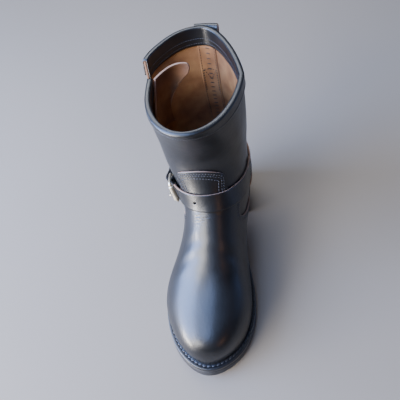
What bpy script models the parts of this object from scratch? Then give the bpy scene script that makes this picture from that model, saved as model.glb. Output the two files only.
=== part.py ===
"""Engineer boot for the right foot: welted sole, hollow upper, overlays, strap and roller buckle.

The boot stands on the XY plane with its toe to -Y, its inner (medial) side to +X and +Z up.
Tables are in millimetres: "along" runs from the back of the heel to the toe, "up" from the floor.
"""
import math
from collections import namedtuple

import bmesh
import bpy
import numpy as np

for old_object in list(bpy.data.objects):
    bpy.data.objects.remove(old_object, do_unlink=True)

# Driving sizes, millimetres
MM = 0.001
SOLE_LENGTH = 293.0
HEEL_LIFT = 30.0
HEEL_BREAST = 72.0
TREAD_BACK = 186.0
TREAD_FRONT = 222.0
TOE_SPRING = 11.0
OUTSOLE_THICK = 9.0
WELT_THICK = 4.0
GAP = 0.3
WALL = 2.4

# The sole's outline from the toe along the inner side, round the heel and back; margin is the welt
# left outside the upper
Outline = namedtuple("Outline", "place along across margin")
OUTLINE = (
    Outline("toe tip", SOLE_LENGTH, 0.0, 9.3),
    Outline("toe inner", 280.0, 27.5, 9.0),
    Outline("forefoot inner", 254.0, 44.5, 7.5),
    Outline("ball inner", 212.0, 50.8, 6.5),
    Outline("shank inner", 163.0, 42.5, 5.5),
    Outline("waist inner", 115.0, 33.0, 4.5),
    Outline("heel inner", 58.0, 36.0, 3.5),
    Outline("heel corner inner", 15.0, 26.5, 3.5),
    Outline("heel back", 0.0, 0.0, 3.5),
    Outline("heel corner outer", 15.0, -26.5, 3.5),
    Outline("heel outer", 58.0, -36.5, 3.5),
    Outline("waist outer", 115.0, -39.0, 4.5),
    Outline("shank outer", 163.0, -51.5, 5.5),
    Outline("ball outer", 212.0, -58.2, 6.0),
    Outline("forefoot outer", 250.0, -48.5, 7.4),
    Outline("toe outer", 279.0, -29.0, 9.3),
)

# Sections of the upper from the toe tip to the heel seat (foot) and on up to the collar (shaft).
# Each is a cut ellipse between a low point and the front ridge; undercut is the angle below its widest line,
# and back_pull draws the inner side in behind that line and lets the outer side out by a share.
Section = namedtuple("Section", "top_along top_up outer inner sway ridge undercut egg shoulder back_pull")
FOOT = (
    Section(281.0, 32.0, 0.0, 0.0, 0.0, 0.0, 30.0, 0.00, 0.20, 0.0),
    Section(276.0, 46.5, 15.5, 15.5, -0.3, 0.3, 29.0, 0.00, 0.22, 0.0),
    Section(262.5, 56.5, 29.0, 29.0, -0.8, 0.8, 26.0, 0.00, 0.22, 0.0),
    Section(241.5, 62.5, 40.5, 40.5, -1.6, 1.6, 22.0, 0.02, 0.16, 0.0),
    Section(216.0, 71.0, 48.5, 47.0, -3.0, 3.0, 19.0, 0.06, 0.08, 0.0),
    Section(193.0, 83.5, 49.0, 45.5, -3.0, 3.0, 20.0, 0.12, 0.04, 0.0),
    Section(173.5, 98.0, 42.5, 41.0, -1.0, 1.5, 25.0, 0.14, 0.06, 0.0),
    Section(157.0, 111.5, 37.0, 38.5, 0.0, 0.0, 30.0, 0.12, 0.10, 0.0),
    Section(144.0, 123.0, 37.5, 40.3, 0.0, -1.5, 30.0, 0.08, 0.15, 0.0),
    Section(135.0, 134.0, 41.0, 42.5, 0.0, -4.5, 33.0, 0.04, 0.18, 0.0),
    Section(127.5, 145.0, 44.5, 43.8, 0.0, -7.5, 43.0, 0.00, 0.19, 0.0),
    Section(121.5, 156.0, 47.4, 43.8, 0.0, -9.5, 64.0, 0.00, 0.20, 0.0),
    Section(118.0, 167.0, 49.6, 42.4, -0.5, -9.5, 82.0, 0.00, 0.20, 0.0),
)
SHAFT = (
    Section(117.0, 178.0, 51.0, 41.5, -1.5, -8.2, 89.0, 0.00, 0.20, 0.5),
    Section(119.0, 189.5, 51.5, 42.7, -2.7, -6.2, 90.0, 0.00, 0.18, 2.0),
    Section(123.0, 202.0, 51.2, 45.0, -3.9, -4.2, 90.0, 0.00, 0.15, 4.0),
    Section(128.5, 215.0, 50.6, 46.8, -5.3, -2.6, 90.0, 0.01, 0.11, 6.0),
    Section(135.8, 228.5, 49.0, 47.8, -6.8, -1.4, 90.0, 0.03, 0.07, 8.0),
    Section(143.6, 242.0, 46.2, 48.0, -8.2, -0.5, 90.0, 0.05, 0.04, 9.4),
)
BackLine = namedtuple("BackLine", "along up")
BACK_LINE = (
    BackLine(1.0, 55.5),
    BackLine(0.0, 91.0),
    BackLine(4.0, 129.0),
    BackLine(7.0, 168.0),
    BackLine(3.2, 207.0),
    BackLine(-4.8, 246.0),
)
HEEL_ROW = len(FOOT) - 1
COLLAR_ROW = HEEL_ROW + len(SHAFT)
FULL_UNDERCUT = 90.0
BACK_PUSH = 0.35

# The slit in the outer side of the collar
SLIT_AROUND = -0.54
SLIT_ROW = 15.6
SLIT_FRONT = 0.050
SLIT_BACK = 0.063
SLIT_SPLAY_FRONT = 3.0
SLIT_SPLAY_BACK = 6.5
SLIT_SPLAY_REACH = 0.13


def spline(knots, values):
    """Natural cubic spline through rows of values, as a function of the knot coordinate."""
    knots = np.asarray(knots, float)
    values = np.asarray(values, float)
    step = np.diff(knots)
    count = len(knots)
    system = np.eye(count)
    load = np.zeros(values.shape)
    for i in range(1, count - 1):
        system[i, i - 1:i + 2] = step[i - 1], 2 * (step[i - 1] + step[i]), step[i]
        load[i] = 6 * ((values[i + 1] - values[i]) / step[i] - (values[i] - values[i - 1]) / step[i - 1])
    bend = np.linalg.solve(system, load)

    def at(where):
        where = np.asarray(where, float)
        i = np.clip(np.searchsorted(knots, where, side="right") - 1, 0, count - 2)
        span = step[i][..., None]
        after = where[..., None] - knots[i][..., None]
        before = span - after
        curve = (bend[i] * before**3 + bend[i + 1] * after**3) / (6 * span)
        line = (values[i] / span - bend[i] * span / 6) * before
        return curve + line + (values[i + 1] / span - bend[i + 1] * span / 6) * after

    return at


def sole_bottom(along):
    """Height of the outsole's underside: heel seat, waist, flat tread and toe spring."""
    waist = np.clip((TREAD_BACK - along) / (TREAD_BACK - HEEL_BREAST), 0, 1)
    spring = np.maximum((along - TREAD_FRONT) / (SOLE_LENGTH - TREAD_FRONT), 0)
    return HEEL_LIFT * waist**2 * (3 - 2 * waist) + TOE_SPRING * spring**2


def stack(along, height):
    """Point (along, up) that lies a height above the sole's underside, square to it."""
    slope = sole_bottom(along + 0.5) - sole_bottom(along - 0.5)
    length = np.sqrt(1 + slope**2)
    return along - height * slope / length, sole_bottom(along) + height / length


OUTLINE_SAMPLES = 720


def closed_outline():
    """Dense closed curve through the outline's rows: along, across, margin and the inward normal."""
    rows = np.array([row[1:] for row in OUTLINE])
    count = len(rows)
    wrap = 4
    ring = np.concatenate([rows[-wrap:], rows, rows[:wrap + 1]])
    knots = np.concatenate([[0], np.cumsum(np.linalg.norm(np.diff(ring[:, :2], axis=0), axis=1))])
    where = np.linspace(knots[wrap], knots[wrap + count], OUTLINE_SAMPLES, endpoint=False)
    curve = spline(knots, ring)
    points = curve(where)
    tangent = curve(where + 0.1)[:, :2] - curve(where - 0.1)[:, :2]
    tangent /= np.linalg.norm(tangent, axis=1)[:, None]
    inward = np.stack([-tangent[:, 1], tangent[:, 0]], axis=1)
    middle = points[:, :2].mean(axis=0)
    if np.sum((middle - points[:, :2]) * inward) < 0:
        inward = -inward
    return points, inward


OUTLINE_POINTS, OUTLINE_INWARD = closed_outline()


def inset_outline(extra, margin_share=1.0):
    """The outline moved inward by a share of the welt margin and an extra distance."""
    distance = OUTLINE_POINTS[:, 2:3] * margin_share + extra
    return OUTLINE_POINTS[:, :2] + OUTLINE_INWARD * distance


class Widths:
    """Half widths of an outline on each side of the boot's long axis."""

    def __init__(self, outline):
        tip = np.argmax(outline[:, 0])
        ring = np.roll(outline, -tip, axis=0)
        back = np.argmin(ring[:, 0])
        self.toe = ring[0, 0]
        self.heel = ring[back, 0]
        inner = ring[:back + 1][::-1]
        outer = np.concatenate([ring[back:], ring[:1]])
        self.sides = {1: inner, -1: outer}

    def at(self, along, side):
        """Half width to one side (1 inner, -1 outer), signed across the boot."""
        table = self.sides[side]
        return np.interp(along, table[:, 0], table[:, 1])


FEATHER_HEIGHT = OUTSOLE_THICK + WELT_THICK + 3 * GAP
FEATHER = Widths(inset_outline(0.0))


def section_splines():
    """Splines along the rows; at the toe the rows repeat mirrored so that the tip closes smoothly."""
    rows = np.array(FOOT + SHAFT)
    width_columns = [Section._fields.index("outer"), Section._fields.index("inner")]
    ghosts = rows[3:0:-1].copy()
    ghosts[:, width_columns] *= -1
    knots = np.arange(-3, len(rows))
    return spline(knots, np.concatenate([ghosts, rows]))


SECTION_AT = section_splines()


def back_line_spline():
    """The back of the shaft from the heel seat to the collar, leaving the seat upright."""
    seat_along, seat_up = stack(np.array(FEATHER.heel), FEATHER_HEIGHT)
    rows = [(seat_along, seat_up)] + [tuple(row) for row in BACK_LINE]
    ghosts = [rows[2], rows[1]]
    return spline(np.arange(HEEL_ROW - 2, COLLAR_ROW + 1), np.array(ghosts + rows))


BACK_AT = back_line_spline()


def low_points(row):
    """The lower end of each section: on the feather line in the foot, on the back line in the shaft."""
    turn = np.clip(row / HEEL_ROW, 0, 1) * math.pi
    seat = FEATHER.heel + (FEATHER.toe - FEATHER.heel) * (1 + np.cos(turn)) / 2
    along, up = stack(seat, FEATHER_HEIGHT)
    back = BACK_AT(np.maximum(row, HEEL_ROW))
    in_shaft = row > HEEL_ROW
    return np.where(in_shaft, back[..., 0], along), np.where(in_shaft, back[..., 1], up), seat


def slit_around(row, around, behind):
    """Shift the columns beside the collar slit so that it opens upward."""
    open_share = np.clip((row - SLIT_ROW) / (COLLAR_ROW - SLIT_ROW), 0, 1)
    front = around * (SLIT_AROUND + SLIT_FRONT * open_share) / SLIT_AROUND
    back = -1 + (around + 1) * (SLIT_AROUND - SLIT_BACK * open_share + 1) / (SLIT_AROUND + 1)
    outer = np.where(behind, back, front)
    splay = open_share * np.exp(-((around - SLIT_AROUND) / SLIT_SPLAY_REACH) ** 2)
    return np.where(around < 0, outer, around), splay * np.where(behind, SLIT_SPLAY_BACK, -SLIT_SPLAY_FRONT)


def skin(row, around, behind=None, slit=True):
    """The upper's outer face: row 0 toe tip to COLLAR_ROW, around -1 outer end, 0 ridge, 1 inner end."""
    row, around = np.broadcast_arrays(np.asarray(row, float), np.asarray(around, float))
    behind = around < SLIT_AROUND if behind is None else behind
    splay = 0.0
    if slit:
        around, splay = slit_around(row, around, behind)
    side = np.where(around < 0, -1.0, 1.0)
    reach = np.abs(around)
    form = np.moveaxis(SECTION_AT(row), -1, 0)
    top_along, top_up, outer, inner, sway, ridge, undercut, egg, shoulder, back_pull = form
    low_along, low_up, seat = low_points(row)
    undercut = np.radians(np.minimum(undercut, FULL_UNDERCUT))
    angle = math.pi / 2 - reach * (math.pi / 2 + undercut)
    rise = (np.sin(angle) + np.sin(undercut)) / (1 + np.sin(undercut))

    def half_width(turn):
        half = (outer + inner) / 2 + side * (inner - outer) / 2 * np.cos(turn)
        return half * np.cos(turn) * (1 - egg * np.sin(turn) + shoulder * np.sin(turn) ** 2)

    feather = np.where(side > 0, FEATHER.at(seat, 1), -FEATHER.at(seat, -1))
    feather = np.where(row >= HEEL_ROW, 0.0, feather)
    across = half_width(angle) + (feather - half_width(-undercut)) * reach**3
    behind_widest = np.clip(-angle / undercut, 0, 1)
    pull = back_pull * np.where(side > 0, 1.0, -BACK_PUSH)
    across = across - pull * np.sin(math.pi * behind_widest)
    x = side * across + sway + ridge * rise - splay
    along = low_along + (top_along - low_along) * rise
    up = low_up + (top_up - low_up) * rise
    return np.stack([x, -along, up], axis=-1)


ROW_STEP = 0.15
AROUND_STEP = 0.01


def outward(row, around, behind=None, slit=True):
    """Unit normal of the outer face, pointing away from the foot; at the toe tip it has no lean to a side."""
    row, around = np.broadcast_arrays(np.asarray(row, float), np.asarray(around, float))
    kept = np.clip(row, ROW_STEP, COLLAR_ROW - ROW_STEP)
    on_back_line = (np.abs(around) > 1 - AROUND_STEP) & (kept >= HEEL_ROW)
    kept = np.where(on_back_line, np.maximum(kept, HEEL_ROW + ROW_STEP), kept)
    up_row = skin(kept + ROW_STEP, around, behind, slit) - skin(kept - ROW_STEP, around, behind, slit)
    turn = skin(kept, around + AROUND_STEP, behind, slit) - skin(kept, around - AROUND_STEP, behind, slit)
    normal = np.cross(turn, up_row)
    normal[..., 0] *= np.clip(row / ROW_STEP, 0, 1)
    return normal / np.linalg.norm(normal, axis=-1)[..., None]


def lay(row, around, lift, behind=None, slit=True):
    """Points a lift above the outer face (below it where lift is negative)."""
    row, around, lift = np.broadcast_arrays(row, around, lift)
    if behind is None:
        behind = around < SLIT_AROUND
    return skin(row, around, behind, slit) + outward(row, around, behind, slit) * lift[..., None]


def spread(low, high, steps):
    """Rows of values from low to high, one column for each entry."""
    share = np.linspace(0, 1, steps + 1)[:, None]
    return low + (high - low) * share


TRACE_STEPS = 500
STRAP_TRACE_ROW = 4.0


def trace(around, first_row):
    """Dense rows and points up each column from a first row to the collar."""
    rows = np.linspace(first_row, COLLAR_ROW, TRACE_STEPS)
    return rows, skin(rows[:, None], np.asarray(around)[None, :])


def row_below_collar(around, distance):
    """The row that lies a distance down from the collar along each column."""
    rows, points = trace(around, HEEL_ROW)
    lengths = np.linalg.norm(np.diff(points, axis=0), axis=-1)[::-1].cumsum(axis=0)
    return np.array([np.interp(distance, lengths[:, j], rows[-2::-1]) for j in range(len(around))])


def row_on_plane(around, level, slope):
    """The row where each column crosses the tilted plane up = level + slope * along."""
    rows, points = trace(around, STRAP_TRACE_ROW)
    height = points[..., 2] + slope * points[..., 1]
    return np.array([np.interp(level, height[:, j], rows) for j in range(len(around))])


def plain_material(name, colour, roughness, metallic=0.0):
    """One Principled material."""
    material = bpy.data.materials.new(name)
    material.use_nodes = True
    shader = material.node_tree.nodes["Principled BSDF"]
    shader.inputs["Base Color"].default_value = (*colour, 1.0)
    shader.inputs["Roughness"].default_value = roughness
    shader.inputs["Metallic"].default_value = metallic
    return material


BLACK = (0.012, 0.013, 0.016)
BLACK_LEATHER = plain_material("black_smooth_leather", BLACK, 0.30)
NATURAL_LEATHER = plain_material("natural_flesh_side_leather", (0.42, 0.28, 0.18), 0.85)
INSOLE_LEATHER = plain_material("insole_leather", (0.34, 0.22, 0.14), 0.80)
SOLE_RUBBER = plain_material("black_sole_rubber", (0.020, 0.020, 0.022), 0.65)
NICKEL = plain_material("nickel_plated_steel", (0.66, 0.62, 0.55), 0.28, 1.0)

BOOT = bpy.data.objects.new("boot", None)
bpy.context.scene.collection.objects.link(BOOT)
MERGE = 0.00001
SHARP_ANGLE = math.radians(40)


def add_object(name, vertices, faces, material):
    """A mesh object from points in millimetres, its doubled points merged."""
    mesh = bpy.data.meshes.new(name)
    mesh.from_pydata([tuple(point) for point in np.asarray(vertices) * MM], [], faces)
    build = bmesh.new()
    build.from_mesh(mesh)
    bmesh.ops.remove_doubles(build, verts=build.verts, dist=MERGE)
    build.to_mesh(mesh)
    build.free()
    mesh.materials.append(material)
    mesh.shade_smooth()
    mesh.set_sharp_from_angle(angle=SHARP_ANGLE)
    piece = bpy.data.objects.new(name, mesh)
    bpy.context.scene.collection.objects.link(piece)
    piece.parent = BOOT
    return piece


def grid_faces(rows, columns, skip=()):
    """Quads of a grid of points, leaving out the cells listed as (row, column)."""
    faces = []
    for i in range(rows - 1):
        for j in range(columns - 1):
            if (i, j) not in skip:
                here = i * columns + j
                faces.append((here, here + 1, here + columns + 1, here + columns))
    return faces


def sheet(name, points, thick, material, inward=False, skip=()):
    """A sheet through a grid of points, thickened to one side of it."""
    rows, columns = points.shape[:2]
    piece = add_object(name, points.reshape(-1, 3), grid_faces(rows, columns, skip), material)
    solidify = piece.modifiers.new("thickness", "SOLIDIFY")
    solidify.thickness = thick * MM
    solidify.offset = -1.0 if inward else 1.0
    solidify.use_even_offset = True
    return piece


def column_gap(rows, column):
    """The cells between one column and the next, over all rows."""
    return {(i, column) for i in range(rows)}


# The columns that the upper and its overlays share, from the ridge to the low edge
HALF_COLUMNS = (
    0.0, 0.06, 0.12, 0.17, 0.20, 0.215, 0.26, 0.33, 0.40, 0.425, 0.45, 0.54, 0.65, 0.75, 0.85, 0.93, 1.0)
INNER_COLUMNS = np.array(HALF_COLUMNS)
OUTER_COLUMNS = -INNER_COLUMNS[:0:-1]
COLUMNS = np.concatenate([OUTER_COLUMNS, INNER_COLUMNS])
FOOT_ROWS = np.concatenate([np.linspace(0.0, 10.8, 19), [11.3, 11.7, HEEL_ROW]])
SHAFT_ROWS = np.array([12.3, 12.9, 13.6, 14.4, 15.0, SLIT_ROW, 16.2, 16.8, 17.4, 18.0])


def slit_columns():
    """The shared columns with the slit's column doubled: a back edge and a front edge."""
    place = int(np.argmin(np.abs(COLUMNS - SLIT_AROUND)))
    columns = np.insert(COLUMNS, place, SLIT_AROUND)
    behind = np.arange(len(columns)) <= place
    return columns, behind, place


def make_upper():
    """The hollow wall of foot and shaft, open below, at the collar and in the slit."""
    columns, behind, place = slit_columns()
    rows = np.concatenate([FOOT_ROWS, SHAFT_ROWS])
    points = skin(rows[:, None], columns[None, :], behind[None, :])
    sheet("upper", points, WALL, BLACK_LEATHER, inward=True, skip=column_gap(len(rows), place))


make_upper()

# Sole: outsole plate, heel block, welt strip and insole board
PLATE_STEPS = 42
INSOLE_STEPS = 34
HEEL_STEPS = 14
HEEL_TAPER = 2.5
HEEL_BACK_TAPER = 3.0
INSOLE_INSET = WALL + 3.5
INSOLE_TOP = FEATHER_HEIGHT + 1.2
WELT_TUCK = 1.0
WELT_STEPS = 72


def seats(first, last, steps, round_first=True):
    """Places from first to last, crowded where the outline turns round."""
    share = np.linspace(0, 1, steps + 1)
    curve = (1 - np.cos(share * math.pi)) / 2 if round_first else np.sin(share * math.pi / 2)
    return first + (last - first) * curve


def face_line(widths, places, height):
    """Outer and inner edge points of a plate's face at each place."""
    along, up = stack(places, height)
    edges = [np.stack([widths.at(places, side), -along, up], axis=-1) for side in (-1, 1)]
    return np.stack(edges, axis=1)


def plate(name, low, high, material):
    """A closed plate between a lower and an upper face, given by their edge points."""
    count = len(low)
    ring = np.stack([low[:, 0], low[:, 1], high[:, 1], high[:, 0]], axis=1)
    faces = []
    for i in range(count - 1):
        here = 4 * i
        after = here + 4
        for side in range(4):
            turn = (side + 1) % 4
            faces.append((here + side, after + side, after + turn, here + turn))
    last = 4 * (count - 1)
    faces.append((0, 1, 2, 3))
    faces.append((last + 3, last + 2, last + 1, last))
    return add_object(name, ring.reshape(-1, 3), faces, material)


def make_sole():
    """The pieces under the foot, each square to the sole's own curve."""
    edge = Widths(inset_outline(0.0, 0.0))
    places = seats(edge.toe, edge.heel, PLATE_STEPS)
    plate("outsole", face_line(edge, places, 0.0), face_line(edge, places, OUTSOLE_THICK), SOLE_RUBBER)

    foot = Widths(inset_outline(HEEL_TAPER, 0.0))
    high = face_line(edge, seats(HEEL_BREAST, edge.heel, HEEL_STEPS, round_first=False), -GAP)
    low = face_line(foot, seats(HEEL_BREAST - HEEL_TAPER, foot.heel, HEEL_STEPS, round_first=False), 0.0)
    low[..., 2] = 0.0
    low[..., 1] -= (HEEL_BACK_TAPER - HEEL_TAPER) * np.linspace(0, 1, len(low))[:, None]
    plate("heel", low, high, SOLE_RUBBER)

    board = Widths(inset_outline(INSOLE_INSET))
    places = seats(board.toe, board.heel, INSOLE_STEPS)
    bottom = face_line(board, places, OUTSOLE_THICK + GAP)
    plate("insole", bottom, face_line(board, places, INSOLE_TOP), INSOLE_LEATHER)

    pick = np.linspace(0, OUTLINE_SAMPLES, WELT_STEPS, endpoint=False).astype(int)
    rim_out = inset_outline(0.0, 0.0)[pick]
    rim_in = inset_outline(WELT_TUCK)[pick]
    low = OUTSOLE_THICK + GAP
    high = low + WELT_THICK
    ring = []
    for rim, height in ((rim_out, low), (rim_out, high), (rim_in, high), (rim_in, low)):
        along, up = stack(rim[:, 0], height)
        ring.append(np.stack([rim[:, 1], -along, up], axis=-1))
    ring = np.stack(ring, axis=1)
    faces = []
    for i in range(WELT_STEPS):
        after = (i + 1) % WELT_STEPS
        for side in range(4):
            turn = (side + 1) % 4
            faces.append((4 * i + side, 4 * after + side, 4 * after + turn, 4 * i + turn))
    add_object("welt", ring.reshape(-1, 3), faces, BLACK_LEATHER)


make_sole()

# Leather overlays, each lifted off the wall
OVERLAY_LIFT = 0.5
OVERLAY_THICK = 2.2
VAMP_FOOT = 0.966
VampEdge = namedtuple("VampEdge", "around row")
VAMP_EDGE = (
    VampEdge(0.00, 11.50),
    VampEdge(0.06, 11.47),
    VampEdge(0.12, 11.36),
    VampEdge(0.17, 11.15),
    VampEdge(0.20, 10.75),
    VampEdge(0.215, 9.90),
    VampEdge(0.26, 9.40),
    VampEdge(0.33, 9.10),
    VampEdge(0.40, 8.70),
    VampEdge(0.425, 7.75),
    VampEdge(0.45, 7.52),
    VampEdge(0.54, 7.50),
    VampEdge(0.65, 7.62),
    VampEdge(0.75, 7.85),
    VampEdge(0.85, 8.05),
    VampEdge(0.93, 8.18),
    VampEdge(1.00, 8.25),
)
COUNTER_LIFT = 1.2
COUNTER_FOOT = 2.6
COUNTER_HEIGHT = 51.0
COUNTER_REACH = 58.0
COUNTER_POWER = 2.2
COUNTER_ROWS = 7
COUNTER_COLUMNS = 20
COUNTER_TOP_SHARE = 0.99
HEEL_AXIS = 38.0
HEEL_ROUND = 32.0
HEEL_NEAREST = 30
HEEL_WALL_ROWS = (7.0, 15.0)
HEEL_WALL_AROUND = 0.5
HEEL_TURN_LIMIT = math.radians(150)
HEEL_TURNS = 61
BACKSTAY_AROUND = 0.93
BACKSTAY_THICK = 2.0
BAND_HEIGHT = 12.0
FACING_DEPTH = 18.0
FACING_THICK = 1.3
OVERLAY_ROWS = np.concatenate([FOOT_ROWS, SHAFT_ROWS])


def overlay(name, columns, first, last, thick, skip=()):
    """An outer leather over the wall, its rows cut off at a first and a last row for each column."""
    rows = np.clip(OVERLAY_ROWS[:, None], first[None, :], last[None, :])
    points = lay(rows, columns[None, :], OVERLAY_LIFT)
    return sheet(name, points, thick, BLACK_LEATHER, skip=skip)


def make_vamp():
    """The foot's outer leather with its squared instep tab and two wings."""
    table = np.array(VAMP_EDGE)
    columns = np.clip(COLUMNS, -VAMP_FOOT, VAMP_FOOT)
    edge = np.interp(np.abs(columns), table[:, 0], table[:, 1])
    overlay("vamp", columns, np.zeros(len(columns)), edge, OVERLAY_THICK)


def heel_wall():
    """Dense points of the wall round the heel: turn about an upright axis, height and radius."""
    rows = np.linspace(*HEEL_WALL_ROWS, 161)[:, None]
    around = np.linspace(HEEL_WALL_AROUND, 1.0, 61)[None, :]
    wall = np.concatenate([skin(rows, side * around).reshape(-1, 3) for side in (1, -1)])
    back = wall[:, 1] + HEEL_AXIS
    return np.arctan2(wall[:, 0], back), wall[:, 2], np.hypot(wall[:, 0], back)


HEEL_TURN, HEEL_UP, HEEL_RADIUS = heel_wall()


def heel_point(turn, up, lift):
    """A point off the heel's wall at a turn from the back, found from the nearest points of the wall."""
    away = ((HEEL_TURN - turn) * HEEL_ROUND) ** 2 + (HEEL_UP - up) ** 2
    near = np.argpartition(away, HEEL_NEAREST)[:HEEL_NEAREST]
    slopes = np.stack([np.ones(HEEL_NEAREST), HEEL_TURN[near] - turn, HEEL_UP[near] - up], axis=1)
    radius = np.linalg.lstsq(slopes, HEEL_RADIUS[near], rcond=None)[0][0] + lift
    return radius * math.sin(turn), radius * math.cos(turn) - HEEL_AXIS, up


def make_counter():
    """The outer leather round the heel, its top edge an arch that falls forward to the sole on both sides."""
    seat = float(stack(np.array(FEATHER.heel), FEATHER_HEIGHT)[1])
    turns = np.linspace(0, HEEL_TURN_LIMIT, HEEL_TURNS)
    climb = np.sin(np.linspace(0, math.pi / 2, COUNTER_ROWS + 1))
    lines = []
    for up in COUNTER_FOOT + (COUNTER_HEIGHT - COUNTER_FOOT) * climb:
        share = min(up / COUNTER_HEIGHT, COUNTER_TOP_SHARE)
        front = COUNTER_REACH * (1 - share**COUNTER_POWER) ** (1 / COUNTER_POWER)
        limits = []
        for side in (1, -1):
            along = [-heel_point(side * turn, seat + up, COUNTER_LIFT)[1] for turn in turns]
            limits.append(side * np.interp(front, along, turns))
        columns = np.linspace(limits[0], limits[1], COUNTER_COLUMNS + 1)
        lines.append([heel_point(turn, seat + up, COUNTER_LIFT) for turn in columns])
    sheet("counter", np.array(lines), OVERLAY_THICK, BLACK_LEATHER)


def make_backstay():
    """The strip over the back seam, an outer and an inner half that join at the back line."""
    seat = float(stack(np.array(FEATHER.heel), FEATHER_HEIGHT)[1])
    strip = np.array([BACKSTAY_AROUND, (1 + BACKSTAY_AROUND) / 2, 1.0])
    low = row_on_plane(strip, seat + COUNTER_HEIGHT + 3 * GAP, 0.0)
    high = row_below_collar(strip, BAND_HEIGHT + 2 * GAP)
    columns = np.concatenate([strip, -strip[::-1]])
    gap = column_gap(len(OVERLAY_ROWS), len(strip) - 1)
    both_low = np.concatenate([low, low[::-1]])
    both_high = np.concatenate([high, high[::-1]])
    overlay("backstay", columns, both_low, both_high, BACKSTAY_THICK, gap)


def make_facing():
    """The binding folded over the collar: a band outside, a deep facing inside."""
    columns, behind, place = slit_columns()
    inside = -(WALL + GAP)
    top = np.full(len(columns), float(COLLAR_ROW))
    band = row_below_collar(columns, BAND_HEIGHT)
    deep = row_below_collar(columns, FACING_DEPTH)
    rise = skin(top, columns, behind) - skin(top - 0.05, columns, behind)
    rise *= GAP / np.linalg.norm(rise, axis=-1)[:, None]
    lines = [
        lay(band, columns, GAP, behind),
        lay((band + top) / 2, columns, GAP, behind),
        lay(top, columns, GAP, behind) + rise,
        lay(top, columns, inside, behind) + rise,
        lay((deep + top) / 2, columns, inside, behind),
        lay(deep, columns, inside, behind),
    ]
    sheet("collar_facing", np.stack(lines), FACING_THICK, BLACK_LEATHER, skip=column_gap(len(lines), place))


# The flap behind the slit: its front edge is sewn inside the front half, its free end swings inward and
# curls forward
FLAP_FRONT_TOP = 0.07
FLAP_FRONT_LOW = 0.17
FLAP_REACH = 0.11
FLAP_CURL = 1.45
FLAP_SWING = 42.0
FLAP_SWING_POWER = 1.05
FLAP_RISE_POWER = 1.8
FLAP_SEWN_SHARE = 0.25
FLAP_THICK = 1.9
FLAP_ROW_LOW = SLIT_ROW - 0.4
FLAP_ROW_TOP = COLLAR_ROW + 0.05
FLAP_CORNER = 0.35
FLAP_CORNER_START = 0.8
FLAP_COLUMNS = 12
FLAP_ROWS = 8


def make_flap():
    """The natural leather flap that fills the slit."""
    share = np.linspace(0, 1, FLAP_COLUMNS + 1)
    corner = np.clip((share - FLAP_CORNER_START) / (1 - FLAP_CORNER_START), 0, 1)
    top = FLAP_ROW_TOP - FLAP_CORNER * corner**2
    rows = spread(np.full(share.shape, FLAP_ROW_LOW), top, FLAP_ROWS)
    height = np.clip((rows - FLAP_ROW_LOW) / (FLAP_ROW_TOP - FLAP_ROW_LOW), 0, 1)
    front = FLAP_FRONT_LOW + (FLAP_FRONT_TOP - FLAP_FRONT_LOW) * height
    sewn = np.clip(1 - share / FLAP_SEWN_SHARE, 0, 1)
    past = np.clip((share - FLAP_SEWN_SHARE) / (1 - FLAP_SEWN_SHARE), 0, 1)
    curl = 1 + (FLAP_CURL - 1) * height
    back = FLAP_REACH * np.sin(past * curl * math.pi / 2)
    around = SLIT_AROUND + front * sewn - back
    swing = FLAP_SWING * height**FLAP_RISE_POWER * past**FLAP_SWING_POWER
    lift = -(WALL + FACING_THICK + 4 * GAP) - swing
    points = lay(rows, around, lift, np.zeros(around.shape, bool))
    sheet("gusset_flap", points, FLAP_THICK, NATURAL_LEATHER)


# The loop behind the collar: depth below the collar and lift of its middle off the wall
LOOP_HALF_WIDTH = 13.0
LOOP_THICK = 2.0
LOOP_SHIFT = 4.0
LOOP_COLUMNS = 5
LOOP_BESIDE = 0.7
LoopPath = namedtuple("LoopPath", "depth lift hug")
LOOP_PATH = (
    LoopPath(55.0, 4.1, 1.0),
    LoopPath(42.0, 4.1, 1.0),
    LoopPath(28.0, 4.1, 0.9),
    LoopPath(14.0, 4.2, 0.7),
    LoopPath(5.0, 4.4, 0.5),
    LoopPath(2.0, 4.9, 0.4),
    LoopPath(0.3, 6.6, 0.4),
    LoopPath(0.8, 8.8, 0.4),
    LoopPath(3.5, 10.2, 0.4),
    LoopPath(10.0, 10.4, 0.5),
    LoopPath(22.0, 9.2, 0.7),
    LoopPath(36.0, 7.5, 0.9),
    LoopPath(47.0, 6.6, 1.0),
    LoopPath(55.0, 6.5, 1.0),
)


def make_loop():
    """A folded strap over the backstay, standing off the back at its top."""
    beside = np.linspace(LOOP_BESIDE, 1.0, 61)
    columns = np.concatenate([-beside, beside[::-1]])
    across = LOOP_SHIFT + np.linspace(-LOOP_HALF_WIDTH, LOOP_HALF_WIDTH, LOOP_COLUMNS)
    lines = []
    for step in LOOP_PATH:
        row = row_below_collar(np.array([1.0]), step.depth)
        wall = lay(row, columns, step.lift)
        seam = wall[len(beside) - 1, 0]
        line = np.stack([np.interp(seam + across, wall[:, 0], wall[:, k]) for k in range(3)], axis=-1)
        line[:, 1] += (1 - step.hug) * (line[:, 1].max() - line[:, 1])
        lines.append(line)
    piece = sheet("pull_loop", np.array(lines), LOOP_THICK, BLACK_LEATHER)
    piece.modifiers["thickness"].offset = 0.0


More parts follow.
